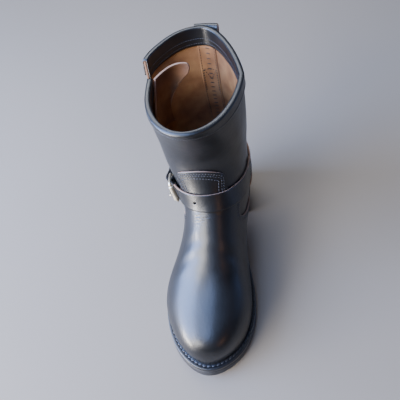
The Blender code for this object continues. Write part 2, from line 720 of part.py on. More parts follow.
# Instep strap and buckle: the strap lies between two planes that fall toward the heel
STRAP_LEVEL = 67.0
STRAP_SLOPE = 0.45
STRAP_HALF = 10.6
STRAP_THICK = 2.2
STRAP_END_ALONG = 52.0
STRAP_STEP = 5.0
ROLLER_AROUND = -0.375
BUCKLE_LENGTH = 22.0
STRAP_TAIL = 32.0
TAIL_ROUND = 8.0
HOLE_HALF_SHARE = 0.14
HOLE_FIRST = -1.0
HOLE_LAST = 12.0
BAR_RADIUS = 1.5
ROLLER_RADIUS = 2.9
ROLLER_BORE = 1.8
ROLLER_LENGTH = 19.0
FRAME_HALF = 13.2
FRAME_CORNER = 3.0
PRONG_RADIUS = 1.1
BAR_LIFT = 4.4
OVER_TAB = 3.2
ON_WALL = 0.7
HOLDER_PLY = 1.7
HOLDER_BEND = BAR_RADIUS + 2.5 * GAP + HOLDER_PLY / 2
HOLDER_SHARES = (-0.95, -0.18, 0.18, 0.95)
HOLDER_LOWER_STEPS = 9
HOLDER_BEND_STEPS = 9
TAIL_TIP = 0.45
TAB_SIDE_AROUND = 0.43
WALL_SIDE_AROUND = 0.52
STRAP_FAR = 300.0
LIFT_BLUR = 2.0
StrapLift = namedtuple("StrapLift", "behind_bar lift")
HOLDER_TOP = (
    StrapLift(4.0, 6.2),
    StrapLift(8.0, 4.6),
    StrapLift(12.0, 3.6),
    StrapLift(19.0, 3.4),
    StrapLift(26.0, 3.4),
)
TAIL_LIFTS = (
    StrapLift(40.0, 4.5),
    StrapLift(26.0, 4.9),
    StrapLift(16.0, 5.2),
    StrapLift(12.0, 6.2),
    StrapLift(8.0, 7.8),
    StrapLift(4.0, 8.8),
    StrapLift(0.0, 9.0),
    StrapLift(-4.0, 8.4),
    StrapLift(-18.0, 3.0),
)


class StrapLine:
    """The strap over the wall: length from the ridge along its middle, share (-1 to 1) of its half width."""

    SHARES = np.linspace(-1, 1, 9)
    REACH = 40.0

    def __init__(self):
        self.around = np.linspace(-0.97, 0.97, 971)
        levels = STRAP_LEVEL + STRAP_HALF * self.SHARES
        self.rows = np.array([row_on_plane(self.around, level, STRAP_SLOPE) for level in levels])
        self.points = skin(self.rows, self.around[None, :])
        self.middle = self.points[len(self.SHARES) // 2]
        steps = np.linalg.norm(np.diff(self.middle, axis=0), axis=1)
        self.length = np.concatenate([[0], np.cumsum(steps)])
        self.length -= np.interp(0.0, self.around, self.length)

    def length_at(self, around):
        """The length along the strap at a column."""
        return np.interp(around, self.around, self.length)

    def end_length(self, side):
        """The length at which the strap reaches its sewn end on one side."""
        half = self.around * side > 0.3
        return float(np.interp(STRAP_END_ALONG, -self.middle[half, 1][::-side], self.length[half][::-side]))

    def across(self, length):
        """Rows and columns, one for each share, of the line across the strap at a length."""
        here = np.array([np.interp(length, self.length, self.middle[:, k]) for k in range(3)])
        ahead = np.array([np.interp(length + 1.0, self.length, self.middle[:, k]) for k in range(3)])
        near = np.abs(self.length - length) < self.REACH
        past = (self.points[:, near] - here) @ (ahead - here)
        around = np.array([np.interp(0.0, line, self.around[near]) for line in past])
        row = np.array([np.interp(at, self.around, line) for at, line in zip(around, self.rows)])
        return row, around

    def place(self, length, share):
        """Row and column at a length and a share of the half width."""
        row, around = self.across(length)
        return np.interp(share, self.SHARES, row), np.interp(share, self.SHARES, around)


LINE = StrapLine()
ROLLER_AT = float(LINE.length_at(ROLLER_AROUND))
BAR_AT = ROLLER_AT - BUCKLE_LENGTH


def strap_lift(length):
    """Lift of the strap's lower face: on the wall, over the vamp's tab, over the buckle's bar."""
    table = [(BAR_AT - row.behind_bar, row.lift) for row in TAIL_LIFTS]
    table += [(ROLLER_AT, OVER_TAB), (LINE.length_at(TAB_SIDE_AROUND), OVER_TAB)]
    table += [(LINE.length_at(WALL_SIDE_AROUND), ON_WALL), (STRAP_FAR, ON_WALL)]
    table = np.array(table)
    near = [np.interp(length + shift, table[:, 0], table[:, 1]) for shift in (-LIFT_BLUR, 0.0, LIFT_BLUR)]
    return np.mean(near, axis=0)


def strap_points(length, share, lift):
    """Points over the wall at lengths along the strap and shares of its half width."""
    places = [LINE.place(*pair) for pair in zip(np.ravel(length), np.ravel(share))]
    row, around = np.array(places).T.reshape(2, *length.shape)
    return lay(row, around, lift)


def make_strap():
    """The strap from its sewn inner end over the tab, through the buckle, to its free end."""
    tail = BAR_AT - STRAP_TAIL
    end = LINE.end_length(1)
    shared = LINE.length_at(COLUMNS[np.abs(COLUMNS) < 0.6])
    even = np.arange(tail, end, STRAP_STEP)
    hole = np.array([BAR_AT + HOLE_FIRST, BAR_AT + HOLE_LAST])
    rounding = tail + TAIL_ROUND * np.array([0.0, 0.1, 0.3, 0.6])
    length = np.unique(np.round(np.concatenate([shared, even, hole, rounding, [end]]), 3))
    keep = np.concatenate([[True], np.diff(length) > 0.7])
    length = length[keep | np.isin(length, np.round(hole, 3))]
    length = length[(length >= tail - 0.001) & (length <= end + 0.001)]
    round_share = np.clip((length - tail) / TAIL_ROUND, 0, 1)
    width = TAIL_TIP + (1 - TAIL_TIP) * np.sqrt(1 - (1 - round_share) ** 2)
    share = np.array([-1.0, -HOLE_HALF_SHARE, HOLE_HALF_SHARE, 1.0])
    grid_length = np.repeat(length[None, :], len(share), axis=0)
    points = strap_points(grid_length, share[:, None] * width[None, :], strap_lift(grid_length))
    in_hole = (length[:-1] > BAR_AT + HOLE_FIRST - 0.01) & (length[1:] < BAR_AT + HOLE_LAST + 0.01)
    skip = {(1, int(j)) for j in np.flatnonzero(in_hole)}
    sheet("instep_strap", points, STRAP_THICK, BLACK_LEATHER, skip=skip)


def make_holder():
    """The short strap folded round the buckle's bar, with a slot for the prong."""
    inner_ply = ON_WALL + HOLDER_PLY / 2
    bend_start = BAR_AT - HOLDER_TOP[0].behind_bar
    lower = [(value, inner_ply) for value in np.linspace(LINE.end_length(-1), bend_start, HOLDER_LOWER_STEPS)]
    bend = []
    for angle in np.linspace(-math.pi / 2, math.pi / 2, HOLDER_BEND_STEPS):
        bend.append((BAR_AT + HOLDER_BEND * math.cos(angle), BAR_LIFT + HOLDER_BEND * math.sin(angle)))
    upper = [(BAR_AT - row.behind_bar, row.lift) for row in HOLDER_TOP]
    path = np.array(lower + bend + upper)
    share, length = np.meshgrid(HOLDER_SHARES, path[:, 0], indexing="ij")
    lift = np.broadcast_to(path[:, 1], length.shape)
    first = len(lower) + 1
    skip = {(1, j) for j in range(first, len(lower) + len(bend))}
    piece = sheet("buckle_strap", strap_points(length, share, lift), HOLDER_PLY, BLACK_LEATHER, skip=skip)
    piece.modifiers["thickness"].offset = 0.0


def tube(name, path, radius, sides, material, closed=False):
    """A round bar along a path of points."""
    path = np.asarray(path, float)
    count = len(path)
    ahead = np.roll(path, -1, axis=0) - path
    behind = path - np.roll(path, 1, axis=0)
    if not closed:
        ahead[-1] = behind[-1]
        behind[0] = ahead[0]
    tangent = ahead / np.linalg.norm(ahead, axis=1)[:, None]
    tangent += behind / np.linalg.norm(behind, axis=1)[:, None]
    tangent /= np.linalg.norm(tangent, axis=1)[:, None]
    turn = np.arange(sides) * 2 * math.pi / sides
    frame_side = BUCKLE_NORMAL - tangent * (tangent @ BUCKLE_NORMAL)[:, None]
    frame_side /= np.linalg.norm(frame_side, axis=1)[:, None]
    frame_up = np.cross(tangent, frame_side)
    ring = frame_side[:, None] * np.cos(turn)[None, :, None] + frame_up[:, None] * np.sin(turn)[None, :, None]
    points = path[:, None] + ring * radius
    faces = []
    for i in range(count if closed else count - 1):
        after = (i + 1) % count
        for j in range(sides):
            k = (j + 1) % sides
            faces.append((i * sides + j, i * sides + k, after * sides + k, after * sides + j))
    if not closed:
        faces.append(tuple(range(sides - 1, -1, -1)))
        faces.append(tuple(range((count - 1) * sides, count * sides)))
    return add_object(name, points.reshape(-1, 3), faces, material)


def unit(vector):
    """The vector at length one."""
    return vector / np.linalg.norm(vector)


def strap_place(length, share, lift):
    """One point over the wall."""
    return strap_points(np.array([length]), np.array([share]), np.array([lift]))[0]


ROLLER_LIFT = OVER_TAB + STRAP_THICK + 2 * GAP + ROLLER_RADIUS
ROLLER_MIDDLE = strap_place(ROLLER_AT, 0.0, ROLLER_LIFT)
BAR_MIDDLE = strap_place(BAR_AT, 0.0, BAR_LIFT)
BUCKLE_FORWARD = unit(ROLLER_MIDDLE - BAR_MIDDLE)
BUCKLE_SPAN = float(np.linalg.norm(ROLLER_MIDDLE - BAR_MIDDLE))
BUCKLE_WIDE = strap_place(ROLLER_AT, 1.0, ROLLER_LIFT) - strap_place(ROLLER_AT, -1.0, ROLLER_LIFT)
BUCKLE_WIDE += strap_place(BAR_AT, 1.0, BAR_LIFT) - strap_place(BAR_AT, -1.0, BAR_LIFT)
BUCKLE_NORMAL = unit(np.cross(BUCKLE_FORWARD, BUCKLE_WIDE))
BUCKLE_WIDE = unit(np.cross(BUCKLE_NORMAL, BUCKLE_FORWARD))


def buckle_point(forward, wide, high):
    """A point in the buckle's own frame, from the middle of its rear bar."""
    return BAR_MIDDLE + BUCKLE_FORWARD * forward + BUCKLE_WIDE * wide + BUCKLE_NORMAL * high


FRAME_SIDES = 10
FRAME_CORNER_STEPS = 4
ROLLER_SIDES = 14
ProngStep = namedtuple("ProngStep", "past_bar past_roller over_bar over_roller")
PRONG_STEPS = (
    ProngStep(-2.1, None, -0.75, None),
    ProngStep(-1.0, None, -0.15, None),
    ProngStep(0.3, None, 0.0, None),
    ProngStep(3.0, None, 0.1, None),
    ProngStep(None, -1.5, None, 0.0),
    ProngStep(None, 1.5, None, 0.0),
    ProngStep(None, 4.0, None, -0.6),
)


def make_buckle():
    """The metal frame, the roller on its front bar and the prong from its rear bar."""
    corner = FRAME_CORNER
    frame = []
    for forward, wide, start in ((BUCKLE_SPAN, 1, 0), (0, 1, 90), (0, -1, 180), (BUCKLE_SPAN, -1, 270)):
        middle_forward = forward - corner if forward else corner
        for angle in np.radians(start + np.linspace(0, 90, FRAME_CORNER_STEPS)):
            place = middle_forward + corner * math.cos(angle)
            frame.append(buckle_point(place, wide * (FRAME_HALF - corner) + corner * math.sin(angle), 0.0))
    tube("buckle_frame", frame, BAR_RADIUS, FRAME_SIDES, NICKEL, closed=True)

    turn = np.arange(ROLLER_SIDES) * 2 * math.pi / ROLLER_SIDES
    half = ROLLER_LENGTH / 2
    profile = ((-half, ROLLER_RADIUS), (half, ROLLER_RADIUS), (half, ROLLER_BORE), (-half, ROLLER_BORE))
    points = []
    for wide, radius in profile:
        for angle in turn:
            forward = BUCKLE_SPAN + radius * math.cos(angle)
            points.append(buckle_point(forward, wide, radius * math.sin(angle)))
    faces = []
    for k in range(len(profile)):
        here = k * ROLLER_SIDES
        other = (k + 1) % len(profile) * ROLLER_SIDES
        for j in range(ROLLER_SIDES):
            after = (j + 1) % ROLLER_SIDES
            faces.append((here + j, other + j, other + after, here + after))
    add_object("buckle_roller", points, faces, NICKEL)

    over_bar = BAR_RADIUS + GAP + PRONG_RADIUS
    over_roller = ROLLER_RADIUS + GAP + PRONG_RADIUS
    path = []
    for step in PRONG_STEPS:
        if step.past_roller is None:
            path.append(buckle_point(step.past_bar, 0.0, over_bar + step.over_bar))
        else:
            path.append(buckle_point(BUCKLE_SPAN + step.past_roller, 0.0, over_roller + step.over_roller))
    tube("buckle_prong", path, PRONG_RADIUS, FRAME_SIDES, NICKEL)


make_vamp()
make_counter()
make_backstay()
make_facing()
make_flap()
make_loop()
make_strap()
make_holder()
make_buckle()


def centre_boot():
    """Move the boot so that the middle of its footprint lies over the origin."""
    graph = bpy.context.evaluated_depsgraph_get()
    corners = []
    for piece in BOOT.children:
        corners += [tuple(corner) for corner in piece.evaluated_get(graph).bound_box]
    corners = np.array(corners)
    middle = (corners.min(axis=0) + corners.max(axis=0)) / 2
    BOOT.location = (-middle[0], -middle[1], 0.0)


centre_boot()
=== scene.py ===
"""Engineer boot for the right foot: black waxed leather, raw tan edges, roller buckle, welted sole."""
import math
from collections import namedtuple

import bmesh
import bpy
import numpy as np
from mathutils import Matrix, Vector


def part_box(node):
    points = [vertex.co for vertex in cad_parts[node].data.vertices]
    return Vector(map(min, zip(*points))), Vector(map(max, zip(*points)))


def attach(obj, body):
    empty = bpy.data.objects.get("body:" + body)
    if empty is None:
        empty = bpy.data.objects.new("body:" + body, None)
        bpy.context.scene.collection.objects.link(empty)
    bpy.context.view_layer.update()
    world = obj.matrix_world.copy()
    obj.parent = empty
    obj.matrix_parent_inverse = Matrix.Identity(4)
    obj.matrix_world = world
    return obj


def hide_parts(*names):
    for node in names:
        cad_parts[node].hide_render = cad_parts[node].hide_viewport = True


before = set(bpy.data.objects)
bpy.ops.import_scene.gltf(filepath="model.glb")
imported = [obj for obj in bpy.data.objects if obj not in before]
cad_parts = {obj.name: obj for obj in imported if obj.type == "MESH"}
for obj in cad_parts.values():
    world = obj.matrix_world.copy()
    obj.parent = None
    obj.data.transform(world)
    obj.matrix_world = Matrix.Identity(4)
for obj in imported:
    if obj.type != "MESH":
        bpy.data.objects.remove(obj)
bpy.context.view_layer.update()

# Outsole: a full-length plate of black rubber under the whole boot, pressed, trimmed round its edge
# and dressed dark. It is flat under the ball, rises in the waist to the heel seat and springs at the toe.
MM = 0.001
SOLE_LENGTH = 293.0
HEEL_LIFT = 30.0
HEEL_BREAST = 72.0
TREAD_BACK = 186.0
TREAD_FRONT = 222.0
TOE_SPRING = 11.0
OUTSOLE_THICK = 9.0

# The sole's outline from the toe along the inner side, round the heel and back; margin is the welt
# left outside the upper
Outline = namedtuple("Outline", "place along across margin")
OUTLINE = (
    Outline("toe tip", SOLE_LENGTH, 0.0, 9.3),
    Outline("toe inner", 280.0, 27.5, 9.0),
    Outline("forefoot inner", 254.0, 44.5, 7.5),
    Outline("ball inner", 212.0, 50.8, 6.5),
    Outline("shank inner", 163.0, 42.5, 5.5),
    Outline("waist inner", 115.0, 33.0, 4.5),
    Outline("heel inner", 58.0, 36.0, 3.5),
    Outline("heel corner inner", 15.0, 26.5, 3.5),
    Outline("heel back", 0.0, 0.0, 3.5),
    Outline("heel corner outer", 15.0, -26.5, 3.5),
    Outline("heel outer", 58.0, -36.5, 3.5),
    Outline("waist outer", 115.0, -39.0, 4.5),
    Outline("shank outer", 163.0, -51.5, 5.5),
    Outline("ball outer", 212.0, -58.2, 6.0),
    Outline("forefoot outer", 250.0, -48.5, 7.4),
    Outline("toe outer", 279.0, -29.0, 9.3),
)
OUTLINE_SAMPLES = 720
OUTLINE_WRAP = 4
TANGENT_STEP = 0.1
SLOPE_STEP = 0.5
RUBBER_MOTTLE = 14.0
RUBBER_GRIT = 0.9
MERGE = 0.00001


def spline(knots, values):
    """Natural cubic spline through rows of values, as a function of the knot coordinate."""
    knots = np.asarray(knots, float)
    values = np.asarray(values, float)
    step = np.diff(knots)
    count = len(knots)
    system = np.eye(count)
    demand = np.zeros(values.shape)
    for i in range(1, count - 1):
        system[i, i - 1:i + 2] = step[i - 1], 2 * (step[i - 1] + step[i]), step[i]
        demand[i] = 6 * ((values[i + 1] - values[i]) / step[i] - (values[i] - values[i - 1]) / step[i - 1])
    bend = np.linalg.solve(system, demand)

    def at(where):
        where = np.asarray(where, float)
        i = np.clip(np.searchsorted(knots, where, side="right") - 1, 0, count - 2)
        span = step[i][..., None]
        after = where[..., None] - knots[i][..., None]
        before = span - after
        curve = (bend[i] * before**3 + bend[i + 1] * after**3) / (6 * span)
        line = (values[i] / span - bend[i] * span / 6) * before
        return curve + line + (values[i + 1] / span - bend[i + 1] * span / 6) * after

    return at


def sole_bottom(along):
    """Height of the outsole's underside: heel seat, waist, flat tread and toe spring."""
    waist = np.clip((TREAD_BACK - along) / (TREAD_BACK - HEEL_BREAST), 0, 1)
    spring = np.maximum((along - TREAD_FRONT) / (SOLE_LENGTH - TREAD_FRONT), 0)
    return HEEL_LIFT * waist**2 * (3 - 2 * waist) + TOE_SPRING * spring**2


def stack(along, height):
    """Point (along, up) that lies a height above the sole's underside, square to it."""
    slope = (sole_bottom(along + SLOPE_STEP) - sole_bottom(along - SLOPE_STEP)) / (2 * SLOPE_STEP)
    length = np.sqrt(1 + slope**2)
    return along - height * slope / length, sole_bottom(along) + height / length


def unit(vectors):
    """Each vector at length one."""
    return vectors / np.linalg.norm(vectors, axis=-1, keepdims=True)


def path_length(points):
    """The length along a path at each of its points."""
    return np.concatenate([[0], np.cumsum(np.linalg.norm(np.diff(points, axis=0), axis=1))])


def closed_outline():
    """Dense closed curve through the outline's rows: along, across, margin and the inward normal."""
    rows = np.array([row[1:] for row in OUTLINE])
    ring = np.concatenate([rows[-OUTLINE_WRAP:], rows, rows[:OUTLINE_WRAP + 1]])
    knots = path_length(ring[:, :2])
    last = OUTLINE_WRAP + len(rows)
    where = np.linspace(knots[OUTLINE_WRAP], knots[last], OUTLINE_SAMPLES, endpoint=False)
    curve = spline(knots, ring)
    points = curve(where)
    tangent = unit(curve(where + TANGENT_STEP)[:, :2] - curve(where - TANGENT_STEP)[:, :2])
    inward = np.stack([-tangent[:, 1], tangent[:, 0]], axis=1)
    middle = points[:, :2].mean(axis=0)
    if np.sum((middle - points[:, :2]) * inward) < 0:
        inward = -inward
    return points, inward


OUTLINE_POINTS, OUTLINE_INWARD = closed_outline()


def inset_outline(extra, margin_share=1.0):
    """The outline moved inward by a share of the welt margin and an extra distance."""
    distance = OUTLINE_POINTS[:, 2:3] * margin_share + extra
    return OUTLINE_POINTS[:, :2] + OUTLINE_INWARD * distance


# Where the boot's own frame (heel back at zero, toe to -Y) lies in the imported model
OUTSOLE_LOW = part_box("outsole")[0]
PLACE = np.array([OUTSOLE_LOW[0] - OUTLINE_POINTS[:, 1].min() * MM, OUTSOLE_LOW[1] + SOLE_LENGTH * MM, 0.0])


def linear(hex_colour):
    """A colour given as sRGB hex, as linear RGBA."""
    shares = [int(hex_colour[i:i + 2], 16) / 255 for i in (1, 3, 5)]
    return tuple(s / 12.92 if s <= 0.04045 else ((s + 0.055) / 1.055) ** 2.4 for s in shares) + (1.0,)


def add_node(tree, kind, inputs=None, to=None, out=0, stops=(), **settings):
    """Adds a node with settings, inputs (values or sockets) and colour stops, and links its output on."""
    made = tree.nodes.new(kind)
    for name, value in settings.items():
        setattr(made, name, value)
    for socket, value in (inputs or {}).items():
        if isinstance(value, bpy.types.NodeSocket):
            tree.links.new(value, made.inputs[socket])
        else:
            made.inputs[socket].default_value = value
    for index, (position, colour) in enumerate(stops):
        elements = made.color_ramp.elements
        stop = elements[index] if index < 2 else elements.new(position)
        stop.position = position
        stop.color = linear(colour)
    if to is not None:
        tree.links.new(made.outputs[out], to)
    return made.outputs[out]


def new_material(name):
    """An empty node material: its tree, its Principled shader's inputs and object coordinates in metres."""
    material = bpy.data.materials.new(name)
    material.use_nodes = True
    tree = material.node_tree
    place = add_node(tree, "ShaderNodeTexCoord", out="Object")
    return material, tree, tree.nodes["Principled BSDF"].inputs, place


def per_metre(size_mm):
    """Texture scale that makes one cell of a pattern a size in millimetres."""
    return 1000.0 / size_mm


def sole_rubber():
    """Pressed black rubber, trimmed and dressed: dull, faintly mottled, with a fine grit."""
    material, tree, surface, place = new_material("pressed_black_rubber")
    cloud = add_node(tree, "ShaderNodeTexNoise", {
        "Vector": place, "Scale": per_metre(RUBBER_MOTTLE), "Detail": 5.0})
    add_node(tree, "ShaderNodeValToRGB", {"Fac": cloud}, surface["Base Color"],
             stops=((0.3, "#1d1d20"), (0.75, "#303033")))
    add_node(tree, "ShaderNodeMapRange", {"Value": cloud, "To Min": 0.46, "To Max": 0.62},
             surface["Roughness"])
    grit = add_node(tree, "ShaderNodeTexNoise", {
        "Vector": place, "Scale": per_metre(RUBBER_GRIT), "Detail": 3.0})
    add_node(tree, "ShaderNodeBump", {"Height": grit, "Strength": 0.25, "Distance": 0.0003},
             surface["Normal"])
    return material


def add_piece(name, points, faces, materials):
    """A smooth-shaded mesh from points in the boot's own millimetres, its doubled points merged."""
    mesh = bpy.data.meshes.new(name)
    world = np.asarray(points, float).reshape(-1, 3) * MM + PLACE
    mesh.from_pydata(world.tolist(), [], [tuple(int(i) for i in face) for face in faces])
    build = bmesh.new()
    build.from_mesh(mesh)
    bmesh.ops.remove_doubles(build, verts=build.verts, dist=MERGE)
    build.to_mesh(mesh)
    build.free()
    for material in materials:
        mesh.materials.append(material)
    mesh.shade_smooth()
    piece = bpy.data.objects.new(name, mesh)
    bpy.context.scene.collection.objects.link(piece)
    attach(piece, "root")
    return piece


def soften(piece, angle):
    """Keeps edges sharper than an angle (degrees) crisp in the smooth shading."""
    piece.data.set_sharp_from_angle(angle=math.radians(angle))


def ring_faces(count, samples, closed=False, flip=False):
    """Quads between rings of points that follow each other, the last joined to the first when closed."""
    faces = []
    for k in range(count if closed else count - 1):
        after = (k + 1) % count
        for i in range(samples):
            j = (i + 1) % samples
            quad = (k * samples + i, after * samples + i, after * samples + j, k * samples + j)
            faces.append(quad[:1] + quad[:0:-1] if flip else quad)
    return faces


def rings_to_solid(name, rings, materials):
    """A closed solid through stacked closed rings, its two end faces joined over to their middle line."""
    rings = np.asarray(rings)
    count, samples = rings.shape[:2]
    faces = ring_faces(count, samples)
    points = list(rings)
    for k, middle in ((0, count), (count - 1, count + 1)):
        toe = int(np.argmin(rings[k, :, 1]))
        partner = (2 * toe - np.arange(samples)) % samples
        points.append((rings[k] + rings[k, partner]) / 2)
        for i in range(samples):
            j = (i + 1) % samples
            quad = (k * samples + i, k * samples + j, middle * samples + j, middle * samples + i)
            faces.append(quad[::-1] if k else quad)
    return add_piece(name, np.concatenate(points), faces, materials)


def sole_ring(inset, height, margin_share=0.0):
    """A closed ring of the sole at an inset and a height square to the sole."""
    rim = inset_outline(inset, margin_share)
    along, up = stack(rim[:, 0], height)
    return np.stack([rim[:, 1], -along, up], axis=-1)


SoleEdge = namedtuple("SoleEdge", "inset height")
OUTSOLE_EDGE = (
    SoleEdge(1.6, 0.0),
    SoleEdge(0.5, 0.35),
    SoleEdge(0.1, 1.2),
    SoleEdge(0.0, 3.0),
    SoleEdge(0.0, 6.8),
    SoleEdge(0.15, 8.2),
    SoleEdge(0.6, 8.8),
    SoleEdge(1.4, OUTSOLE_THICK),
)
RUBBER = sole_rubber()
outsole = rings_to_solid("outsole_plate", [sole_ring(*row) for row in OUTSOLE_EDGE], [RUBBER])
soften(outsole, angle=50)
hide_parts("outsole")

# Heel: a block of black rubber under the seat, cut square at its breast and drawn in a little toward the
# floor. It is cemented and nailed up under the outsole.
# GAP is the clearance between pieces that lie on each other.
GAP = 0.3
HEEL_TAPER = 2.5
HEEL_BACK_TAPER = 3.0
HEEL_STEPS = 60
HEEL_EDGE_ROUND = 0.9
END_KEEP = 0.02


class Widths:
    """Half widths of an outline on each side of the boot's long axis."""

    def __init__(self, outline):
        tip = np.argmax(outline[:, 0])
        ring = np.roll(outline, -tip, axis=0)
        back = np.argmin(ring[:, 0])
        self.toe = ring[0, 0]
        self.heel = ring[back, 0]
        inner = ring[:back + 1][::-1]
        outer = np.concatenate([ring[back:], ring[:1]])
        self.sides = {1: inner, -1: outer}

    def at(self, along, side):
        """Half width to one side (1 inner, -1 outer), signed across the boot."""
        table = self.sides[side]
        return np.interp(along, table[:, 0], table[:, 1])


def seats(first, last, steps, round_first=True):
    """Places from first to last, crowded where the outline turns round."""
    share = np.linspace(0, 1, steps + 1)
    curve = (1 - np.cos(share * math.pi)) / 2 if round_first else np.sin(share * math.pi / 2)
    return first + (last - first) * curve


def face_line(widths, places, height):
    """Outer and inner edge points of a plate's face at each place."""
    along, up = stack(places, height)
    edges = [np.stack([widths.at(places, side), -along, up], axis=-1) for side in (-1, 1)]
    return np.stack(edges, axis=1)


def plate(name, low, high, materials):
    """A closed plate between a lower and an upper face, given by their edge points."""
    ring = np.stack([low[:, 0], low[:, 1], high[:, 1], high[:, 0]], axis=1)
    count, corners = ring.shape[:2]
    faces = ring_faces(count, corners)
    faces.append(tuple(range(corners)))
    faces.append(tuple(range(count * corners))[:-corners - 1:-1])
    return add_piece(name, ring.reshape(-1, 3), faces, materials)


def round_edges(piece, radius, segments=3, angle=40.0):
    """Rounds the edges of a piece that turn by more than an angle."""
    bevel = piece.modifiers.new("rounded_edges", "BEVEL")
    bevel.width = radius * MM
    bevel.segments = segments
    bevel.limit_method = "ANGLE"
    bevel.angle_limit = math.radians(angle)


SOLE_EDGE = Widths(inset_outline(0.0, 0.0))
HEEL_FOOT = Widths(inset_outline(HEEL_TAPER, 0.0))
seat_places = seats(HEEL_BREAST, SOLE_EDGE.heel + END_KEEP, HEEL_STEPS, round_first=False)
floor_places = seats(HEEL_BREAST - HEEL_TAPER, HEEL_FOOT.heel + END_KEEP, HEEL_STEPS, round_first=False)
heel_high = face_line(SOLE_EDGE, seat_places, -GAP)
heel_low = face_line(HEEL_FOOT, floor_places, 0.0)
heel_low[..., 2] = 0.0
heel_low[..., 1] -= (HEEL_BACK_TAPER - HEEL_TAPER) * np.linspace(0, 1, len(heel_low))[:, None]
heel = plate("heel_block", heel_low, heel_high, [RUBBER])
round_edges(heel, HEEL_EDGE_ROUND)
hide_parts("heel")

# Welt: a strip of black leather that runs round the edge of the upper on top of the outsole. It is sewn
# down through the outsole with a thick waxed lock stitch that lies in a cut channel.
WELT_THICK = 4.0
CHANNEL_SHARE = 0.44
CHANNEL_INSET = 0.3
WeltEdge = namedtuple("WeltEdge", "margin_share inset height")
WELT_EDGE = (
    WeltEdge(0.0, 0.5, 0.0),
    WeltEdge(0.0, 0.0, 0.5),
    WeltEdge(0.0, 0.0, 2.9),
    WeltEdge(0.0, 0.25, 3.6),
    WeltEdge(0.0, 0.85, 3.95),
    WeltEdge(0.30, CHANNEL_INSET, WELT_THICK),
    WeltEdge(0.36, CHANNEL_INSET, 3.75),
    WeltEdge(CHANNEL_SHARE, CHANNEL_INSET, 3.3),
    WeltEdge(0.52, CHANNEL_INSET, 3.75),
    WeltEdge(0.58, CHANNEL_INSET, WELT_THICK),
    WeltEdge(1.0, 0.8, WELT_THICK),
    WeltEdge(1.0, 1.0, 3.8),
    WeltEdge(1.0, 1.0, 0.0),
)
WELT_FLOOR = OUTSOLE_THICK + GAP
WELT_STITCH_UP = 3.75
Stitch = namedtuple("Stitch", "pitch length width height slant", defaults=(0.0,))
WELT_STITCH = Stitch(pitch=5.2, length=4.7, width=1.9, height=1.5, slant=14.0)
LEATHER_PATCH = 34.0
LEATHER_WAVE = 18.0
# Pores are drawn nearly two millimetres apart, coarser than real ones, so that they show
LEATHER_PORE = 1.7
THREAD_TWIST = 0.8
STITCH_SIDES = 6
# Place along half a stitch and share of its thickness there
STITCH_STATIONS = ((-1.0, 0.25), (-0.8, 0.8), (-0.3, 1.0), (0.3, 1.0), (0.8, 0.8), (1.0, 0.25))
DIRECTION_STEP = 0.3


def waxed_leather(name, low_colour, high_colour, rough_low, rough_high, coat):
    """Black smooth cowhide, waxed and brushed: a clear gloss over a fine pore grain and soft uneven wear."""
    material, tree, surface, place = new_material(name)
    patches = add_node(tree, "ShaderNodeTexNoise", {
        "Vector": place, "Scale": per_metre(LEATHER_PATCH), "Detail": 4.0})
    add_node(tree, "ShaderNodeValToRGB", {"Fac": patches}, surface["Base Color"],
             stops=((0.32, low_colour), (0.72, high_colour)))
    add_node(tree, "ShaderNodeMapRange", {
        "Value": patches, "From Min": 0.3, "From Max": 0.7, "To Min": rough_low, "To Max": rough_high,
    }, surface["Roughness"])
    surface["Coat Weight"].default_value = coat
    surface["Coat Roughness"].default_value = 0.2
    hide = add_node(tree, "ShaderNodeTexNoise", {
        "Vector": place, "Scale": per_metre(LEATHER_WAVE), "Detail": 2.0})
    waves = add_node(tree, "ShaderNodeBump", {"Height": hide, "Strength": 0.2, "Distance": 0.002})
    pores = add_node(tree, "ShaderNodeTexVoronoi", {"Vector": place, "Scale": per_metre(LEATHER_PORE)},
                     feature="SMOOTH_F1")
    add_node(tree, "ShaderNodeBump", {"Height": pores, "Strength": 0.24, "Distance": 0.0003, "Normal": waves},
             surface["Normal"])
    return material


def waxed_thread(name, colour):
    """Waxed linen thread: dark, with a dull gleam along each stitch and a fine twist up to a given pale tone,
    which for black thread is partly painted highlight.
    """
    material, tree, surface, place = new_material(name)
    twist = add_node(tree, "ShaderNodeTexNoise", {
        "Vector": place, "Scale": per_metre(THREAD_TWIST), "Detail": 2.0})
    add_node(tree, "ShaderNodeValToRGB", {"Fac": twist}, surface["Base Color"],
             stops=((0.0, "#0c0c0f"), (1.0, colour)))
    surface["Roughness"].default_value = 0.42
    add_node(tree, "ShaderNodeBump", {"Height": twist, "Strength": 0.3, "Distance": 0.0002},
             surface["Normal"])
    return material


def walk(where, length, points):
    """Points of a path at places along its length."""
    return np.stack([np.interp(where, length, column) for column in points.T], axis=-1)


def resample(points, normals, pitch):
    """Places one pitch apart along a path: centres, directions and normals."""
    length = path_length(points)
    count = max(int(length[-1] / pitch), 1)
    where = (np.arange(count) + 0.5) * length[-1] / count
    ahead = walk(where + DIRECTION_STEP, length, points)
    behind = walk(where - DIRECTION_STEP, length, points)
    return walk(where, length, points), unit(ahead - behind), unit(walk(where, length, normals))


